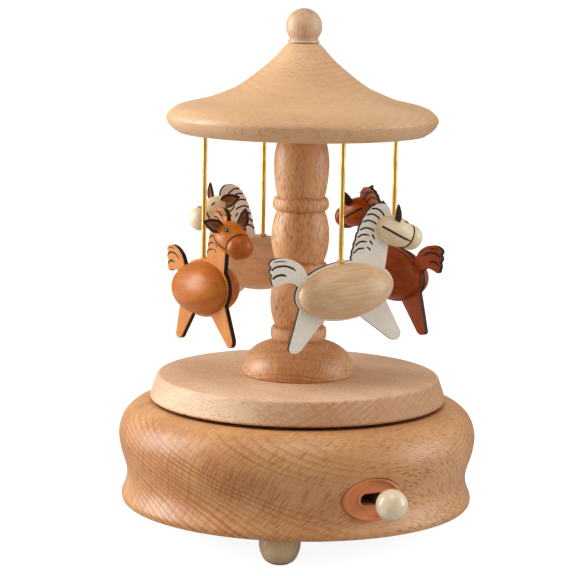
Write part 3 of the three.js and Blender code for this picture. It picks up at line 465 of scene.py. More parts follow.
# Timber of each turned piece. Its grain direction decides where end grain, dashes and bands show.
PITH = 0.25
base_across = facing(35) * 0.34 + Vector(UP) * 0.94
disc_across = facing(135) * -0.42 + Vector(UP) * 0.906
finishes = {
    "base": timber(
        "beech_base", Vector((0, 0, 0.025)) - base_across * PITH, base_across, facing(-55),
        (232, 180, 128), (186, 118, 62), (150, 84, 38)
    ),
    "disc": timber(
        "beech_disc", Vector((0, 0, 0.047)) - disc_across * PITH, disc_across, facing(45), (246, 212, 176),
        (204, 154, 112), (168, 110, 70), ray=(9, 0.26, 1.6), ray_depth=0.5, end=0.8, rough=0.62
    ),
    "dome": timber(
        "beech_dome", Vector((0, 0, 0.02)), UP, facing(-10), (230, 178, 128), (192, 132, 84),
        (142, 80, 44), pith=30, ray=(9, 0.34, 1.8)
    ),
    "column": timber(
        "beech_column", facing(10) * -0.06, facing(10), UP, (238, 186, 134), (206, 144, 94), (136, 74, 38),
        ray=(9, 0.32, 2.9), ray_depth=0.75, pith=60
    ),
    "canopy": timber(
        "beech_canopy", Vector((0, 0, 0.06)), Vector(UP) + facing(-100) * 0.5, facing(80), (240, 198, 154),
        (214, 162, 116), (186, 130, 84), ray=(9, 0.26, 2.4), ray_depth=0.4, ring=1.3, end=0.2, pith=100
    ),
    "finial": timber(
        "maple_finial", facing(20) * -0.03, facing(20), UP, (232, 198, 162), (204, 162, 122),
        (160, 118, 84), ray_depth=0.4, pith=30
    ),
    "feet": timber(
        "maple_feet", facing(20) * -0.09, facing(20), UP, (232, 204, 168), (196, 162, 124), (160, 124, 88),
        ray_depth=0.4, pith=90
    ),
    "brass": metal("brass", (246, 206, 120), (222, 172, 84), 0.3),
    "steel": metal("steel", (196, 198, 202), (140, 142, 146), 0.28),
    "cast_iron": metal("cast_iron", (150, 152, 156), (96, 98, 102), 0.45),
    "fibreboard": painted("fibreboard", (150, 108, 72), (110, 76, 48), 0.7, 0.75, 0.3, 0.0),
    "plate": painted("plate_copper_brown", (238, 156, 104), (220, 138, 88), 0.3, 0.42, 0.6, 0.3),
    "rod": painted("rod_red_brown", (92, 44, 30), (44, 20, 14), 0.4, 0.35, 0.8, 0.3),
    "knob": satin_wood(
        "knob_cream", (254, 244, 220), (242, 214, 170), facing(-60, 30), (0, 0, 0), 0.2, 2.2, 0.8
    ),
    "char": painted("burnt_edge", (50, 26, 18), (22, 12, 10), 0.5, 0.6, 0.4, 0.05),
    "leather": painted("leather_ear", (86, 48, 36), (40, 22, 18), 0.6, 0.6, 0.35, 0.05, 0.05),
    "suede": painted("suede_ear_inside", (172, 116, 74), (104, 62, 40), 0.6, 0.7, 0.4, 0.0, 0.05),
    "strap": painted("strap_brown", (92, 42, 26), (60, 26, 16), 0.4, 0.5, 0.4, 0.1),
    "eye": painted("eye_black", (16, 14, 16), (10, 10, 12), 0.2, 0.1, 0.8, 1.0, 0.0),
    # A pale blue spot on the dark eye beads: a painted glint, a reflection of a light painted as colour.
    "glint": painted("eye_painted_glint", (150, 190, 220), (90, 140, 180), 0.2, 0.1, 0.8, 1.0, 0.0),
    "clear": painted("clear_glue", (216, 184, 150), (236, 214, 190), 0.5, 0.08, 0.6, 1.0, 0.05),
    "glue": painted("gold_bead", (240, 196, 96), (220, 168, 70), 0.3, 0.15, 0.8, 0.8, 0.0),
}

# ---- base

SEAT_GAP = 0.3
LEDGE = 5
base_low, base_high = box("base_housing")
foot_top = base_low[2]
base_top = base_high[2]
belly = base_high[0]

# The housing's side, as (set in from the belly, height above its bottom edge).
side_outline = [
    (1.2, 0.5), (1.0, 2.2), (2.2, 5.6), (2.7, 8.3), (2.5, 11.0), (1.8, 13.7), (0.9, 16.4), (0.3, 19.1),
    (0.0, 21.8), (0.25, 24.2), (1.1, 26.8), (2.7, 29.2), (5.6, 31.4), (9.7, 32.5),
]

# A foot's side, as shares of its radius and height.
foot_outline = [
    (0.46, 0.0), (0.54, 0.03), (0.72, 0.12), (0.86, 0.28), (0.96, 0.48), (1.0, 0.66), (0.97, 0.84),
    (0.9, 1.0),
]
# How far the flat top is sunk under the disc, which opens a dark gap.
SUNK = 1.3


def base_profile():
    """The outside from the bottom edge up to the flat top, then the arbor's hole, cavity and recess."""
    side = np.array([(belly - inset, foot_top + height) for inset, height in side_outline])
    cover_radius, cover_top = box("bottom_cover")[1][[0, 2]] + SEAT_GAP * np.array((1, 0.2))
    roof = box("movement_bedplate")[1][2] + SEAT_GAP
    hole = box("winding_arbor")[1][0] + 4 * SEAT_GAP
    sunk = base_top - SUNK
    inside = [
        (belly - 11.2, base_top), (belly - 12.2, sunk), (hole, sunk), (hole, roof),
        (cover_radius - LEDGE, roof), (cover_radius - LEDGE, cover_top), (cover_radius, cover_top),
        (cover_radius, foot_top), (belly - 2.4, foot_top),
    ]
    start = [(belly - 1.5, foot_top + 0.12)]
    return np.vstack((start, smooth(side, 6), rounded(inside, 0.2, 3)))


switch_out, switch_right = facing(24.5), facing(114.5)
plate_middle = middle("switch_plate")
plate_reach = float(np.hypot(*plate_middle[:2]))
plate_low, plate_high = box("switch_plate")
plate_half_height = (plate_high[2] - plate_low[2]) / 2


def side_frame(reach):
    """Carries a shape drawn with x right, y up and z outwards to the base's side, at the switch's height."""
    where = Vector(switch_out) * reach + Vector((0, 0, plate_middle[2]))
    columns = Matrix((switch_right, Vector(UP), switch_out)).transposed()
    return Matrix.Translation(where) @ columns.to_4x4()


def oval_points(half_length, half_height):
    """Points round an ellipse."""
    angle = turns(96)
    return np.stack((half_length * np.cos(angle), half_height * np.sin(angle)), -1)


def stadium_points(half_length, half_height, count=96):
    """Points round a slot: a circle's points, with each half moved away from the middle along x."""
    angle = turns(count)
    shift = np.clip(np.cos(angle) * 8, -1, 1) * (half_length - half_height)
    return np.stack((shift + half_height * np.cos(angle), half_height * np.sin(angle)), -1)


def prism(outline, low, high):
    """A closed outline in x and y carried from one depth to another."""
    rings = [np.column_stack((outline, np.full(len(outline), level))) for level in (low, high)]
    return surface(np.stack(rings))


def cutter(name, shell):
    """A solid for a boolean cut, linked into the scene until cut_away removes it."""
    vertices, quads, triangles = shell
    mesh = bpy.data.meshes.new(name)
    mesh.from_pydata(vertices * MM, [], quads.tolist() + triangles.tolist())
    return linked(name, mesh)


def cut_away(target, *tools):
    """Cuts each tool out of the target, keeps the result as its mesh, and removes the tool."""
    for tool in tools:
        made = target.modifiers.new(tool.name, "BOOLEAN")
        made.object = tool
        made.operation = "DIFFERENCE"
        made.solver = "EXACT"
    bpy.context.view_layer.update()
    done = bpy.data.meshes.new_from_object(target.evaluated_get(bpy.context.evaluated_depsgraph_get()))
    target.modifiers.clear()
    target.data = done
    for tool in tools:
        bpy.data.objects.remove(tool)


PLATE_HALF, FIT = 9.65, 0.25
SLOT_HALF_LENGTH, SLOT_HALF_HEIGHT = 4.05, 1.85


def make_base():
    shell = lathe(base_profile(), 256)
    housing = piece("base_turned", [shell], finishes["base"], "base", ["base_housing"], 40)
    pocket = prism(oval_points(PLATE_HALF + FIT, plate_half_height + FIT), -1.5, 8)
    slot = prism(stadium_points(SLOT_HALF_LENGTH, SLOT_HALF_HEIGHT, 48), -24, 4)
    stand = side_frame(plate_reach)
    cut_away(housing, cutter("pocket", moved(pocket, stand)), cutter("slot", moved(slot, stand)))
    for index in (1, 2, 3):
        name = "foot_%d" % index
        low, high = box(name)
        radius, centre = (high[0] - low[0]) / 2, (low + high) / 2
        height = high[2]
        side = smooth(np.array(foot_outline) * (radius, height), 5)
        profile = np.vstack(([(0, 0)], side, [(0, height)]))
        foot = moved(lathe(profile, 64), Matrix.Translation((centre[0], centre[1], 0)))
        piece("turned_" + name, [foot], finishes["feet"], "base", [name])


# ---- switch


def make_switch():
    """The plate's section runs from its back edge over a rim and a sunk face to the slot's lip and wall."""
    thickness = 2.4
    outer = oval_points(PLATE_HALF, plate_half_height)
    inner = stadium_points(SLOT_HALF_LENGTH, SLOT_HALF_HEIGHT)
    section = [
        (0, -thickness), (0, -0.3), (0.03, -0.08), (0.08, 0), (0.17, 0), (0.2, -0.15), (0.23, -0.95),
        (0.78, -0.95), (0.82, -0.5), (0.94, -0.42), (1, -0.6), (1, -thickness),
    ]
    rows = [
        np.column_stack((outer * (1 - share) + inner * share, np.full(len(outer), depth + thickness / 2)))
        for share, depth in section
    ]
    plate = moved(surface(np.stack(rows), wrap_rows=True), side_frame(plate_reach))
    piece("switch_plate_moulded", [plate], finishes["plate"], "base", ["switch_plate"], 50)

    knob_low, knob_high = box("switch_knob")
    centre = (knob_low + knob_high) / 2
    radius = (knob_high[2] - knob_low[2]) / 2
    bore = 1.7
    seat = rounded([(bore, -radius + 0.55), (2.6, -radius + 0.55), (3.1, -radius + 1.1)], 0.25, 4)
    ball = turned_curve((0, 0), radius, -50, 89.5, 40)
    profile = np.vstack(([(0, -1.8), (bore, -1.8)], seat, ball, [(0, radius)]))
    stand = side_frame(0)
    stand.translation = Vector(centre)
    knob = moved(lathe(profile, 64), stand)
    piece("switch_knob_turned", [knob], finishes["knob"], "switch", ["switch_knob"])

    lever_low = box("switch_lever")[0]
    out = np.array(switch_out)
    right = np.array(switch_right)
    side = centre.dot(right)
    near = 35.0
    far = centre.dot(out) - 1.9
    height = centre[2]
    path = [right * side + out * reach + (0, 0, height) for reach in np.linspace(near, far, 14)]
    bar = tube(path, 1.5, 32)
    drop = np.linspace(height, lever_low[2], 10)
    foot = right * side + out * (near + 0.4)
    finger = tube([(foot[0], foot[1], level) for level in drop], 0.8, 20)
    piece("switch_lever_rod", [bar, finger], finishes["rod"], "switch", ["switch_lever"])


# ---- turntable


def make_turntable():
    low, high = box("turntable_disc")
    bottom, top, radius = low[2], high[2], high[0]
    hole = box("column_dowel")[1][0] + SEAT_GAP
    bush = box("turntable_bush")[1]
    bush_hole = 4.9
    corners = [(radius - 0.2, bottom), (radius, bottom + 0.3), (radius - 2.5, top), (hole, top)]
    outside = rounded([(radius - 3, bottom), *corners], [0, 0.4, 0.5, 0.9, 0], 5)
    inside = [(hole, bush[2] + SEAT_GAP), (bush_hole, bush[2] + SEAT_GAP), (bush_hole, bottom)]
    disc = lathe(np.vstack((outside, inside)), 256)
    piece("disc_turned", [disc], finishes["disc"], "turntable", ["turntable_disc"])

    low, high = box("column_dome")
    seat, reach = low[2], high[0]
    angle = np.linspace(0, math.pi / 2, 40)
    full = 2 / 2.6
    rise = 11.6
    level = seat + 0.35 + (rise - 0.35) * np.sin(angle) ** full
    shape = np.stack((reach * np.cos(angle) ** full, level), -1)
    shape = shape[(shape[:, 0] > 8.4) & (shape[:, 1] < high[2])]
    foot = [(hole, seat), (reach - 0.55, seat), (reach - 0.1, seat + 0.2)]
    profile = np.vstack((foot, shape, [(8.2, high[2]), (hole, high[2])]))
    piece("dome_turned", [lathe(profile, 160)], finishes["dome"], "turntable", ["column_dome"])
    shaft = lathe(column_profile(hole), 160)
    piece("column_turned", [shaft], finishes["column"], "turntable", ["column"])

    canopy_pieces()


def column_profile(hole):
    """Three barrels on three beads. A barrel's radius is its neck's plus a flattened sine of its height."""
    low, high = box("column")
    bottom, top = low[2], high[2]
    bead_height, spacing, bead = 4.8, 21.1, 9.1
    lines = [[(hole, bottom), (8.2, bottom)]]
    for index, belly_radius in enumerate((9.4, 9.4, 8.95)):
        start = bottom + index * spacing
        last = index == 2
        end = top if last else start + spacing
        neck, upper = 7.7, (6.6 if last else 7.75)
        centre = start + bead_height / 2
        half = bead_height / 2 - 0.25
        turn = np.radians(np.linspace(-80, 80, 25))
        cos, sin = np.cos(turn), np.sin(turn)
        flat = 2 / (3.2 if index == 0 else 2.2)
        proud = half * 0.62
        ring_height = centre + half * np.sign(sin) * np.abs(sin) ** flat
        ring = np.stack((bead - proud + proud * np.abs(cos) ** flat, ring_height), -1)
        share = np.linspace(0, 1, 32)
        ends = neck + (upper - neck) * share
        swell = ends + (belly_radius - ends) * np.sin(math.pi * share) ** 0.75
        barrel = np.stack((swell, start + bead_height + (end - start - bead_height) * share), -1)
        lines += [ring, barrel]
    bore_top = box("column_dowel")[1][2] + SEAT_GAP
    lines.append([(0, top), (0, bore_top), (hole, bore_top)])
    return np.vstack(lines)


def canopy_pieces():
    """The roof sweeps up in a hollow curve from a crisp crease over a rounded rim."""
    low, high = box("canopy")
    bottom, top = low[2], high[2]
    radius = 43.7
    under = [(0, bottom), (radius - 5.2, bottom), (radius - 4.0, bottom + 0.15)]
    rim = smooth([(3.6, 0.45), (2.1, 1.4), (0.75, 2.8), (0.05, 4.3), (0.0, 5.1), (0.3, 5.75)], 5)
    rim = np.stack((radius - rim[:, 0], bottom + rim[:, 1]), -1)
    roof = [
        (43.15, 6.25), (40.9, 8.1), (37.4, 9.35), (31.4, 10.7), (27.7, 11.95), (24.7, 13.2), (21.7, 14.5),
        (17.8, 17.1), (14.6, 19.6), (11.5, 22.1), (8.8, 24.7), (6.55, 27.3), (5.3, 28.5),
    ]
    roof = smooth([(r, bottom + h) for r, h in roof], 6)
    hole = 1.9
    well = [(4.9, top), (hole, top), (hole, top - 8.3), (0, top - 8.3)]
    profile = np.vstack((under, rim, roof, well))
    piece("canopy_turned", [lathe(profile, 256)], finishes["canopy"], "turntable", ["canopy"])

    ball_low, ball_high = box("finial_ball")
    ball = 5.8
    centre = ball_high[2] - ball
    neck = 4.4
    seat = top + 0.05
    start = -math.degrees(math.acos(neck / ball))
    profile = np.vstack(
        (
            [(0, ball_low[2]), (1.6, ball_low[2]), (1.6, seat), (neck - 0.5, seat)],
            smooth([(neck + 0.15, seat + 0.12), (neck + 0.35, seat + 0.5), (neck + 0.1, seat + 0.95)], 5),
            turned_curve((0, centre), ball, start + 3, 89.5, 40),
            [(0, ball_high[2])],
        )
    )
    ring = turned_curve((neck + 0.25, seat + 0.5), 0.42, 0, 345, 16)
    shells = [lathe(profile, 96), lathe(ring, 96)]
    looks = [finishes["finial"], finishes["clear"]]
    piece("finial_turned", shells, looks, "turntable", ["finial_ball"])


# ---- horses

BOARD = 1.6
BODY = np.array((16.2, 7.6, 8.5))
BODY_FORWARD = 1.3
RIM = 0.8
PITCH = math.radians(6)
HEAD_AT = np.array((21.4, 0, 15.6))
HEAD_TILT = math.radians(28)
HEAD_LENGTH = 17.2
HEAD_HALF_WIDTH, HEAD_HALF_HEIGHT = 5.2, 4.7
MUZZLE = 0.84
BAND = 0.71
CORD = 0.3

# Each limb leaves the body's rim and comes back to it, drawn with x forward and y up.
neck_edge = [
    (15.7, 4.9), (16.5, 8.0), (17.3, 11.5), (18.2, 16.0), (19.0, 20.4), (19.1, 23.0), (17.7, 25.0),
    (15.5, 25.5),
]
mane_edge = [
    (15.5, 25.5), (13.1, 24.8), (11.2, 23.3), (9.2, 20.7), (7.5, 17.5), (6.1, 14.3), (5.0, 11.3), (4.4, 9.1),
]
tail_edge = [
    (-11.0, 6.5), (-12.6, 9.8), (-15.0, 11.8), (-17.7, 13.0), (-20.4, 13.4), (-22.7, 12.9), (-23.4, 11.9),
    (-22.9, 10.9), (-23.6, 9.6), (-22.9, 8.4), (-23.3, 7.2), (-22.6, 4.9), (-20.6, 5.2), (-18.1, 5.4),
    (-16.1, 4.8), (-14.4, 3.5),
]
hind_leg = [(-14.6, -3.4), (-19.4, -15.6), (-18.8, -16.6), (-17.1, -17.1), (-15.6, -16.7), (-6.6, -8.2)]
front_leg = [(6.1, -8.9), (16.6, -18.4), (18.1, -18.4), (19.4, -17.6), (19.8, -16.0), (15.4, -5.2)]


def scallops(edge, count=9, depth=0.28):
    """A smooth edge with shallow locks cut into it: the edge moved out by the size of a sine."""
    line = smooth(edge, 16)
    along = np.gradient(line, axis=0)
    out = unit(np.stack((-along[:, 1], along[:, 0]), -1))
    share = np.linspace(0, 1, len(line))[:, None]
    return line - out * depth * np.abs(np.sin(math.pi * count * share))


def board_outline():
    """The rim's ellipse, broken where each limb leaves it, once round from the chest."""
    size = np.array((BODY[0] + RIM, BODY[2] + RIM))

    def angle(point):
        return math.atan2(point[1] / size[1], (point[0] - BODY_FORWARD) / size[0]) % (2 * math.pi)

    def rim(start, end):
        """Points (a cos t, b sin t) of the ellipse between two limbs."""
        first, last = angle(start), angle(end)
        if last < first:
            last += 2 * math.pi
        t = np.linspace(first, last, 26)[1:-1, None]
        return np.hstack((BODY_FORWARD + size[0] * np.cos(t), size[1] * np.sin(t)))

    neck = smooth(neck_edge, 6)
    mane = scallops(mane_edge)
    tail = smooth(tail_edge, 5)
    hind = rounded(hind_leg, [0, 0.5, 0.5, 0.5, 0.6, 0], 4)
    front = rounded(front_leg, [0, 0.6, 0.5, 0.5, 0.5, 0], 4)
    limbs = (neck, mane), (tail,), (hind,), (front,)
    line = []
    for here, onward in zip(limbs, limbs[1:] + limbs[:1]):
        line += [*here, rim(here[-1][-1], onward[0][0])]
    return np.vstack(line)


# Turns a shape drawn in x forward and y up so that it stands upright, with its thickness sideways.
STAND = Matrix(((1, 0, 0, 0), (0, 0, -1, 0), (0, 1, 0, 0), (0, 0, 0, 1)))


def body_half(side):
    """Half an egg on the board: x = a cos t cos f and z = b sin t cos f, and y rises with sin f."""
    turn = turns(72)
    rise = np.radians(np.linspace(0, 88, 26))[:, None]
    cos, sin = np.cos(rise) ** 0.94, np.sin(rise)
    x = BODY_FORWARD + BODY[0] * np.cos(turn) * cos
    z = BODY[2] * np.sin(turn) * cos
    y = side * (BOARD / 2 + 0.04 + BODY[1] * sin) + 0 * turn
    points = np.stack((x, y, z), -1)
    first = (BODY_FORWARD, side * (BOARD / 2 + 0.04), 0)
    last = (BODY_FORWARD, side * (BOARD / 2 + 0.04 + BODY[1]), 0)
    return surface(points, first=first, last=last)


def head_radius(share):
    """The head's radius at a share of its length: an egg, then a groove, then a round muzzle."""
    reach = np.where(share < 0.42, 0.42, 0.46)
    egg = np.sqrt(np.clip(1 - ((share - 0.42) / reach) ** 2, 0, 1))
    ball = MUZZLE * np.sqrt(np.clip(1 - ((share - 0.79) / 0.21) ** 2, 0, 1))
    return np.maximum(egg, ball)


def head_point(share, turn, lift=0.0):
    """A point on the head at a share of its length and an angle round it: r cos t sideways, r sin t up."""
    radius = head_radius(np.asarray(share, float))
    x = (share - 0.5) * HEAD_LENGTH
    sideways = (HEAD_HALF_WIDTH * radius + lift) * np.cos(turn)
    up = (HEAD_HALF_HEIGHT * radius + lift) * np.sin(turn)
    return np.stack(np.broadcast_arrays(x, sideways, up), -1)


def head_shell():
    """The head's rings from the poll to the nose, closer together at the groove and at both ends."""
    ends = 0.5 - 0.5 * np.cos(np.linspace(0.09, math.pi - 0.09, 56))
    share = np.sort(np.concatenate((ends, BAND + np.linspace(-0.03, 0.03, 9))))[:, None]
    turn = turns(64)
    half = HEAD_LENGTH / 2
    return surface(head_point(share, turn), first=(-half, 0, 0), last=(half, 0, 0))


def head_frame():
    """Carries a shape drawn on the head's own axis to the head's place and tilt."""
    tilt = Matrix.Rotation(HEAD_TILT, 4, "Y")
    return Matrix.Translation(HEAD_AT) @ tilt


def ear(side, spread, lean, twist, width, length=6.4, fold=0.8, proud=0.0):
    """A folded leather leaf: its width swells and closes along its length, and its two halves bend forward.
    A narrower leaf that stands proud of another is its paler inside."""
    along = np.linspace(0, 1, 22)[:, None]
    across = np.linspace(-1, 1, 11)[None, :]
    half = width * (np.sin(math.pi * np.clip(along * 0.9 + 0.1, 0, 1) ** 0.8) ** 0.8 + 0.02)
    bend = fold * np.abs(across) * half
    x = bend * 0.75 + 0.9 * along**2 + proud
    y = across * half * 0.75
    z = length * along + 0 * across
    front = np.stack((x, y, z), -1)
    back = front - np.array((0.5, 0, 0))
    loop = np.concatenate((front, back[:, ::-1]), 1)
    shell = surface(loop)
    turn = (
        Matrix.Translation((HEAD_AT[0] - 1.8, side * 3.0, HEAD_AT[2] + 3.7))
        @ Matrix.Rotation(math.radians(-side * spread), 4, "X")
        @ Matrix.Rotation(math.radians(lean), 4, "Y")
        @ Matrix.Rotation(math.radians(twist * side), 4, "Z")
    )
    return moved(shell, turn)


def board_stroke(points, width, side):
    """A burnt line on one face of the board, through points drawn with x forward and y up."""
    line = smooth(points, 6)
    path = np.column_stack((line[:, 0], np.full(len(line), side * (BOARD / 2 + 0.01)), line[:, 1]))
    return ribbon(path, (0, side, 0), width)


def mane_strokes(side):
    """Strokes that start on the mane's edge, each turned a little further down than the one below it."""
    edge = smooth(mane_edge[::-1], 16)
    length = np.concatenate(([0], np.cumsum(np.linalg.norm(np.diff(edge, axis=0), axis=1))))
    strokes = []
    for index in range(7):
        start = edge[np.argmin(np.abs(length - 2.3 - 2.55 * index))]
        turn = math.radians(7 * index)
        line = [(0.1, 0), (1.8, 1.1), (4.1, 1.1)] + ([] if index < 3 else [(5.2, 0.6)])
        hook = [(5.0, 1.3), (5.6, 0.8), (6.1, 0.0)]
        for points in [line] + ([hook] if index < 3 else []):
            cos, sin = math.cos(turn), math.sin(turn)
            hooked = [(start[0] + (x * cos + y * sin), start[1] + (y * cos - x * sin)) for x, y in points]
            strokes.append(hooked)
    return [board_stroke(stroke, 0.54, side) for stroke in strokes]


def tail_strokes(side):
    """Long curved strokes from the tail's ragged end towards its root."""
    lines = [
        ([(-23.1, 10.1), (-21.3, 10.9), (-18.5, 10.8), (-16.3, 9.9), (-14.9, 8.8)], 0.6),
        ([(-22.9, 7.4), (-21.5, 8.1), (-19.8, 8.2), (-18.1, 7.6)], 0.7),
        ([(-21.9, 12.5), (-19.9, 12.5), (-17.9, 12.1)], 0.3),
    ]
    return [board_stroke(line, width, side) for line, width in lines]


def crest_strokes(side):
    """Short lines that comb the crest between the ears."""
    strokes = []
    for k in range(4):
        shift = 1.3 * k
        line = [(13.6 + shift, 24.7 + 0.1 * k), (14.5 + shift, 23.6), (15.6 + shift, 22.9)]
        strokes.append(board_stroke(line, 0.4, side))
    return strokes


def strap(side):
    """The cheek strap: a line along the head's side from the neck to the nose band, lower as it goes."""
    share = np.linspace(0.07, BAND, 26)
    drop = np.radians(np.linspace(8, 20, 26))
    turn = math.pi + drop if side < 0 else -drop
    path = head_point(share, turn, 0.02)
    return ribbon(path, unit(path * (0, 1, 1)), 0.7, 0.07)


def nose_band():
    """A thin cord that lies in the groove behind the muzzle."""
    ring = head_point(np.full(64, BAND), turns(64), 0.02)
    angle = turns(10)[:, None, None]
    round_cord = np.cos(angle) * unit(ring * (0, 1, 1)) + np.sin(angle) * (1, 0, 0)
    return surface(ring + CORD * round_cord, wrap_rows=True)


def bead(centre, radius, stretch=(1, 1, 1), rings=16):
    """A small ball, stretched along its axes."""
    profile = turned_curve((0, 0), 1, -88, 88, rings)
    profile = np.vstack(([(0, -1)], profile, [(0, 1)]))
    swell = Matrix.Diagonal((*(radius * share for share in stretch), 1))
    return moved(lathe(profile, 24), Matrix.Translation(centre) @ swell)


COATS = {"horse_1": "pale", "horse_2": "dark", "horse_3": "pale", "horse_4": "brown"}
# Each ear, left then right: how far it spreads, leans and twists in degrees, and its half width.
EARS = {
    "horse_1": ((22, -6, 0, 1.8), (22, -6, 0, 1.8)),
    "horse_2": ((46, 0, 20, 2.4), (30, 4, -10, 2.4)),
    "horse_3": ((52, -44, 30, 3.0), (20, 0, 0, 2.0)),
    "horse_4": ((24, -6, 10, 2.6), (66, -12, 10, 2.8)),
}


# Each coat's board, then its body, head and muzzle: two tones, and how each is finished.
COAT_LOOKS = {
    "pale": (
        ("_board_paint", (255, 253, 246), (234, 222, 204), 0.75, 0.6, 0.28, 0.0, 0.03),
        ("_body_wood", (238, 204, 164), (210, 170, 128), 0.36, 0.9, 0.12),
        ("_head_wood", (252, 240, 206), (236, 214, 170), 0.34, 1.2, 0.2),
    ),
    "brown": (
        ("_board_stain", (216, 138, 60), (196, 112, 40), 0.5, 0.5, 0.5, 0.0),
        ("_body_stain", (206, 120, 36), (172, 88, 16), 0.4, 2.0, 0.1),
        ("_head_stain", (216, 126, 34), (186, 94, 18), 0.4, 1.4, 0.1),
        ("_muzzle_stain", (192, 98, 20), (162, 72, 10), 0.36, 1.4, 0.15),
    ),
    "dark": (
        ("_board_stain", (182, 88, 20), (156, 64, 10), 0.5, 0.45, 0.5, 0.0),
        ("_body_stain", (170, 80, 20), (134, 52, 8), 0.4, 2.0, 0.1),
        ("_head_stain", (196, 100, 26), (154, 68, 12), 0.38, 1.4, 0.1),
        ("_muzzle_stain", (166, 74, 18), (130, 50, 8), 0.34, 1.4, 0.2),
    ),
}


def coat_finishes(coat, name, heading, centre):
    """The board, body, head and muzzle finishes of one horse. A pale muzzle is finished as the head."""
    grain = Vector((math.cos(heading), math.sin(heading), 0.1))
    (label, *look), *turned = COAT_LOOKS[coat]
    made = [painted(name + label, *look)]
    for label, light, dark, *look in turned:
        made.append(satin_wood(name + label, light, dark, grain, centre, *look))
    return (made + made[-1:])[:4]


def paint_faces(made, finish, chosen):
    """Gives a second finish to the chosen faces."""
    made.data.materials.append(finish)
    made.data.polygons.foreach_set("material_index", chosen.astype(int))


def face_values(made, label):
    """Every face's normal or centre, one row each."""
    values = np.empty(len(made.data.polygons) * 3)
    made.data.polygons.foreach_get(label, values)
    return values.reshape(-1, 3)


def eye(side, coat):
    """The shells and finishes of one eye: a slit on a pale coat, and on the others a bead with a painted
    glint, a pale blue spot that stands in for a reflection of a light.
    """
    turn = math.radians(52) if side > 0 else math.pi - math.radians(52)
    at = head_point(np.array(0.51), turn, 0.02)
    if coat == "pale":
        lean = Matrix.Rotation(math.radians(22), 4, "Y")
        lean = Matrix.Translation(at) @ lean @ Matrix.Translation(-Vector(at))
        return [moved(bead(at, 0.9, (1, 0.3, 0.36), 10), lean)], [finishes["eye"]]
    # A small pale blue bead set just proud of the eye: a painted reflection of a light.
    painted_glint_place = head_point(np.array(0.52), turn, 0.5)
    balls = [bead(at, 0.95, (1, 0.6, 0.9), 12), bead(painted_glint_place, 0.34, (1.1, 0.6, 0.8), 10)]
    return balls, [finishes["eye"], finishes["glint"]]


def make_horse(index):
    name = "horse_%d" % index
    pole_low, pole_high = box("pole_%d" % index)
    centre = (pole_low + pole_high) / 2
    body_low, body_high = box(name + "_body_left")
    height = (body_low[2] + body_high[2]) / 2 - BODY_FORWARD * math.sin(PITCH)
    ahead = middle(name + "_head") - centre
    heading = math.atan2(ahead[1], ahead[0])
    stand = (
        Matrix.Translation((centre[0], centre[1], height))
        @ Matrix.Rotation(heading, 4, "Z")
        @ Matrix.Rotation(-PITCH, 4, "Y")
    )
    coat = COATS[name]
    where = Vector((centre[0], centre[1], height)) * MM
    board_finish, body_finish, head_finish, muzzle_finish = coat_finishes(coat, name, heading, where)
    slots = "pale" if coat == "pale" else "brown"
    char = finishes["char"]

    def place(shell, first=Matrix.Identity(4)):
        return moved(shell, stand @ first)

    def add(label, shells, finish, slot, *stands_for, sharp=32):
        return piece(name + label, shells, finish, "turntable", stands_for, sharp)

    sawn = place(slab(board_outline(), BOARD), STAND)
    board = add("_board_sawn", [sawn], board_finish, slots + "_board", name + "_board", sharp=30)
    sideways = np.array(stand.to_3x3() @ Vector((0, 1, 0)))
    paint_faces(board, char, np.abs(face_values(board, "normal") @ sideways) < 0.5)

    strokes = [shell for side in (-1, 1) for shell in mane_strokes(side) + tail_strokes(side)]
    if coat != "pale":
        strokes += [shell for side in (-1, 1) for shell in crest_strokes(side)]
    add("_burnt_lines", [place(stroke) for stroke in strokes], char, slots + "_board")
    for side, label in ((1, "left"), (-1, "right")):
        half = place(body_half(side))
        add("_body_half_" + label, [half], body_finish, slots + "_body", name + "_body_" + label)

    at_head = head_frame()
    head = place(head_shell(), at_head)
    made = add("_head_turned", [head], head_finish, slots + "_head", name + "_head", sharp=40)
    if coat != "pale":
        inverse = np.array((stand @ at_head).inverted())
        along = (face_values(made, "center") / MM) @ inverse[:3, :3].T + inverse[:3, 3]
        paint_faces(made, muzzle_finish, along[:, 0] > (BAND - 0.5) * HEAD_LENGTH)
    straps = [place(shell, at_head) for shell in (strap(-1), strap(1), nose_band())]
    add("_bridle", straps, finishes["strap"] if coat == "pale" else char, "leather")
    eyes, looks = [], []
    for side in (-1, 1):
        shells, own = eye(side, coat)
        eyes += [place(shell, at_head) for shell in shells]
        looks += own
    add("_eyes", eyes, looks, slots + "_head")
    for side, label, bend in zip((1, -1), ("left", "right"), EARS[name]):
        leaf = place(ear(side, *bend))
        add("_ear_leaf_" + label, [leaf], finishes["leather"], "leather", name + "_ear_" + label, sharp=60)
        lining = place(ear(side, *bend[:3], bend[3] * 0.6, length=5.3, proud=0.14))
        add("_ear_inside_" + label, [lining], finishes["suede"], "leather", sharp=60)

    radius = (pole_high[0] - pole_low[0]) / 2
    rod = lathe([(0, pole_low[2]), (radius, pole_low[2]), (radius, pole_high[2]), (0, pole_high[2])], 32)
    rod = moved(rod, Matrix.Translation((centre[0], centre[1], 0)))
    piece("pole_rod_%d" % index, [rod], finishes["brass"], "turntable", ["pole_%d" % index])
    collar = bead((centre[0], centre[1], height + BODY[2] + 0.75), 1.35, (1, 1, 0.55))
    add("_glue_bead", [collar], finishes["glue"], "brass")


# ---- pieces kept from the model

KEPT = {"bottom_cover": "fibreboard", "column_dowel": "feet", "movement_bedplate": "cast_iron"}
BRASS = (
    "turntable_bush", "drive_gear", "pin_cylinder", "cylinder_gear", "governor_frame", "governor_wheel",
)
KEPT.update(dict.fromkeys(BRASS, "brass"))


def finish_kept():
    """Every CAD node that still shows takes its metal, board or timber."""
    for name, node in nodes.items():
        if node.hide_render:
            continue
        node.data.materials.clear()
        node.data.materials.append(finishes[KEPT.get(name, "steel")])


# ---- studio


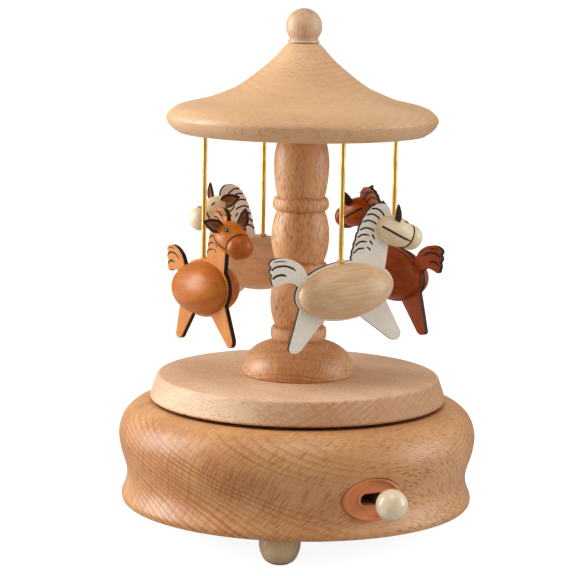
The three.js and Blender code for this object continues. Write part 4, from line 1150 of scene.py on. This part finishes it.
def area_light(name, azimuth, rise, power, colour):
    """A soft light, 0.4 by 0.6 m, that looks at the object from 0.75 m at an azimuth and a rise."""
    data = bpy.data.lights.new(name, "AREA")
    data.shape = "RECTANGLE"
    data.size, data.size_y, data.energy, data.color = 0.4, 0.6, power, colour
    lamp = linked(name, data)
    direction = facing(azimuth, rise)
    lamp.location = Vector((0, 0, 0.08)) + direction * 0.75
    lamp.rotation_mode = "QUATERNION"
    lamp.rotation_quaternion = (-direction).to_track_quat("-Z", "Y")


def studio():
    scene = bpy.context.scene
    scene.view_settings.view_transform = "Standard"
    world = bpy.data.worlds.new("studio")
    scene.world = world
    world.use_nodes = True
    tree = world.node_tree
    background = tree.nodes["Background"]
    paths = tree.nodes.new("ShaderNodeLightPath")
    tint = tree.nodes.new("ShaderNodeMix")
    tint.data_type = "RGBA"
    tint.inputs[6].default_value = (1.0, 0.83, 0.66, 1)
    tint.inputs[7].default_value = (1, 1, 1, 1)
    tree.links.new(paths.outputs["Is Camera Ray"], tint.inputs[0])
    tree.links.new(tint.outputs[2], background.inputs["Color"])
    amount = tree.nodes.new("ShaderNodeMapRange")
    amount.inputs["To Min"].default_value = 0.41
    amount.inputs["To Max"].default_value = 1.1
    tree.links.new(paths.outputs["Is Camera Ray"], amount.inputs["Value"])
    tree.links.new(amount.outputs["Result"], background.inputs["Strength"])

    floor_finish = Finish("studio_floor", roughness=0.9)
    floor_finish.shader.inputs["Base Color"].default_value = (0.5, 0.5, 0.5, 1)
    floor_finish.shader.inputs["Specular IOR Level"].default_value = 0.0
    seen = floor_finish.node("ShaderNodeLightPath", {}, "Is Camera Ray")
    floor_finish.shader.inputs["Emission Color"].default_value = (1, 1, 1, 1)
    floor_finish.feed("Emission Strength", seen * 0.9)
    mesh = bpy.data.meshes.new("floor")
    reach = 20
    corners = [(-reach, -reach, 0), (reach, -reach, 0), (reach, reach, 0), (-reach, reach, 0)]
    mesh.from_pydata(corners, [], [(0, 1, 2, 3)])
    mesh.materials.append(floor_finish.material)
    floor = linked("floor", mesh)

    area_light("key_left", -96, 16, 6.3, (0.93, 0.99, 1.04))
    area_light("fill_right", 84, 8, 2.6, (0.88, 0.97, 1.08))
    area_light("top", 0, 68, 1.6, (1.0, 1.0, 1.0))

    data = bpy.data.cameras.new("camera")
    data.lens, data.sensor_width = 137.4, 36
    camera = linked("camera", data)
    camera.matrix_world = (
        Matrix.Translation(facing(0) * 0.7061 + Vector((0, 0, 0.1863)))
        @ Matrix.Rotation(math.radians(FRONT + 90 + 0.30), 4, "Z")
        @ Matrix.Rotation(math.radians(90 - 8.68), 4, "X")
        @ Matrix.Rotation(math.radians(1.0), 4, "Z")
    )
    scene.camera = camera


make_base()
make_switch()
make_turntable()
for horse in (1, 2, 3, 4):
    make_horse(horse)
finish_kept()
studio()
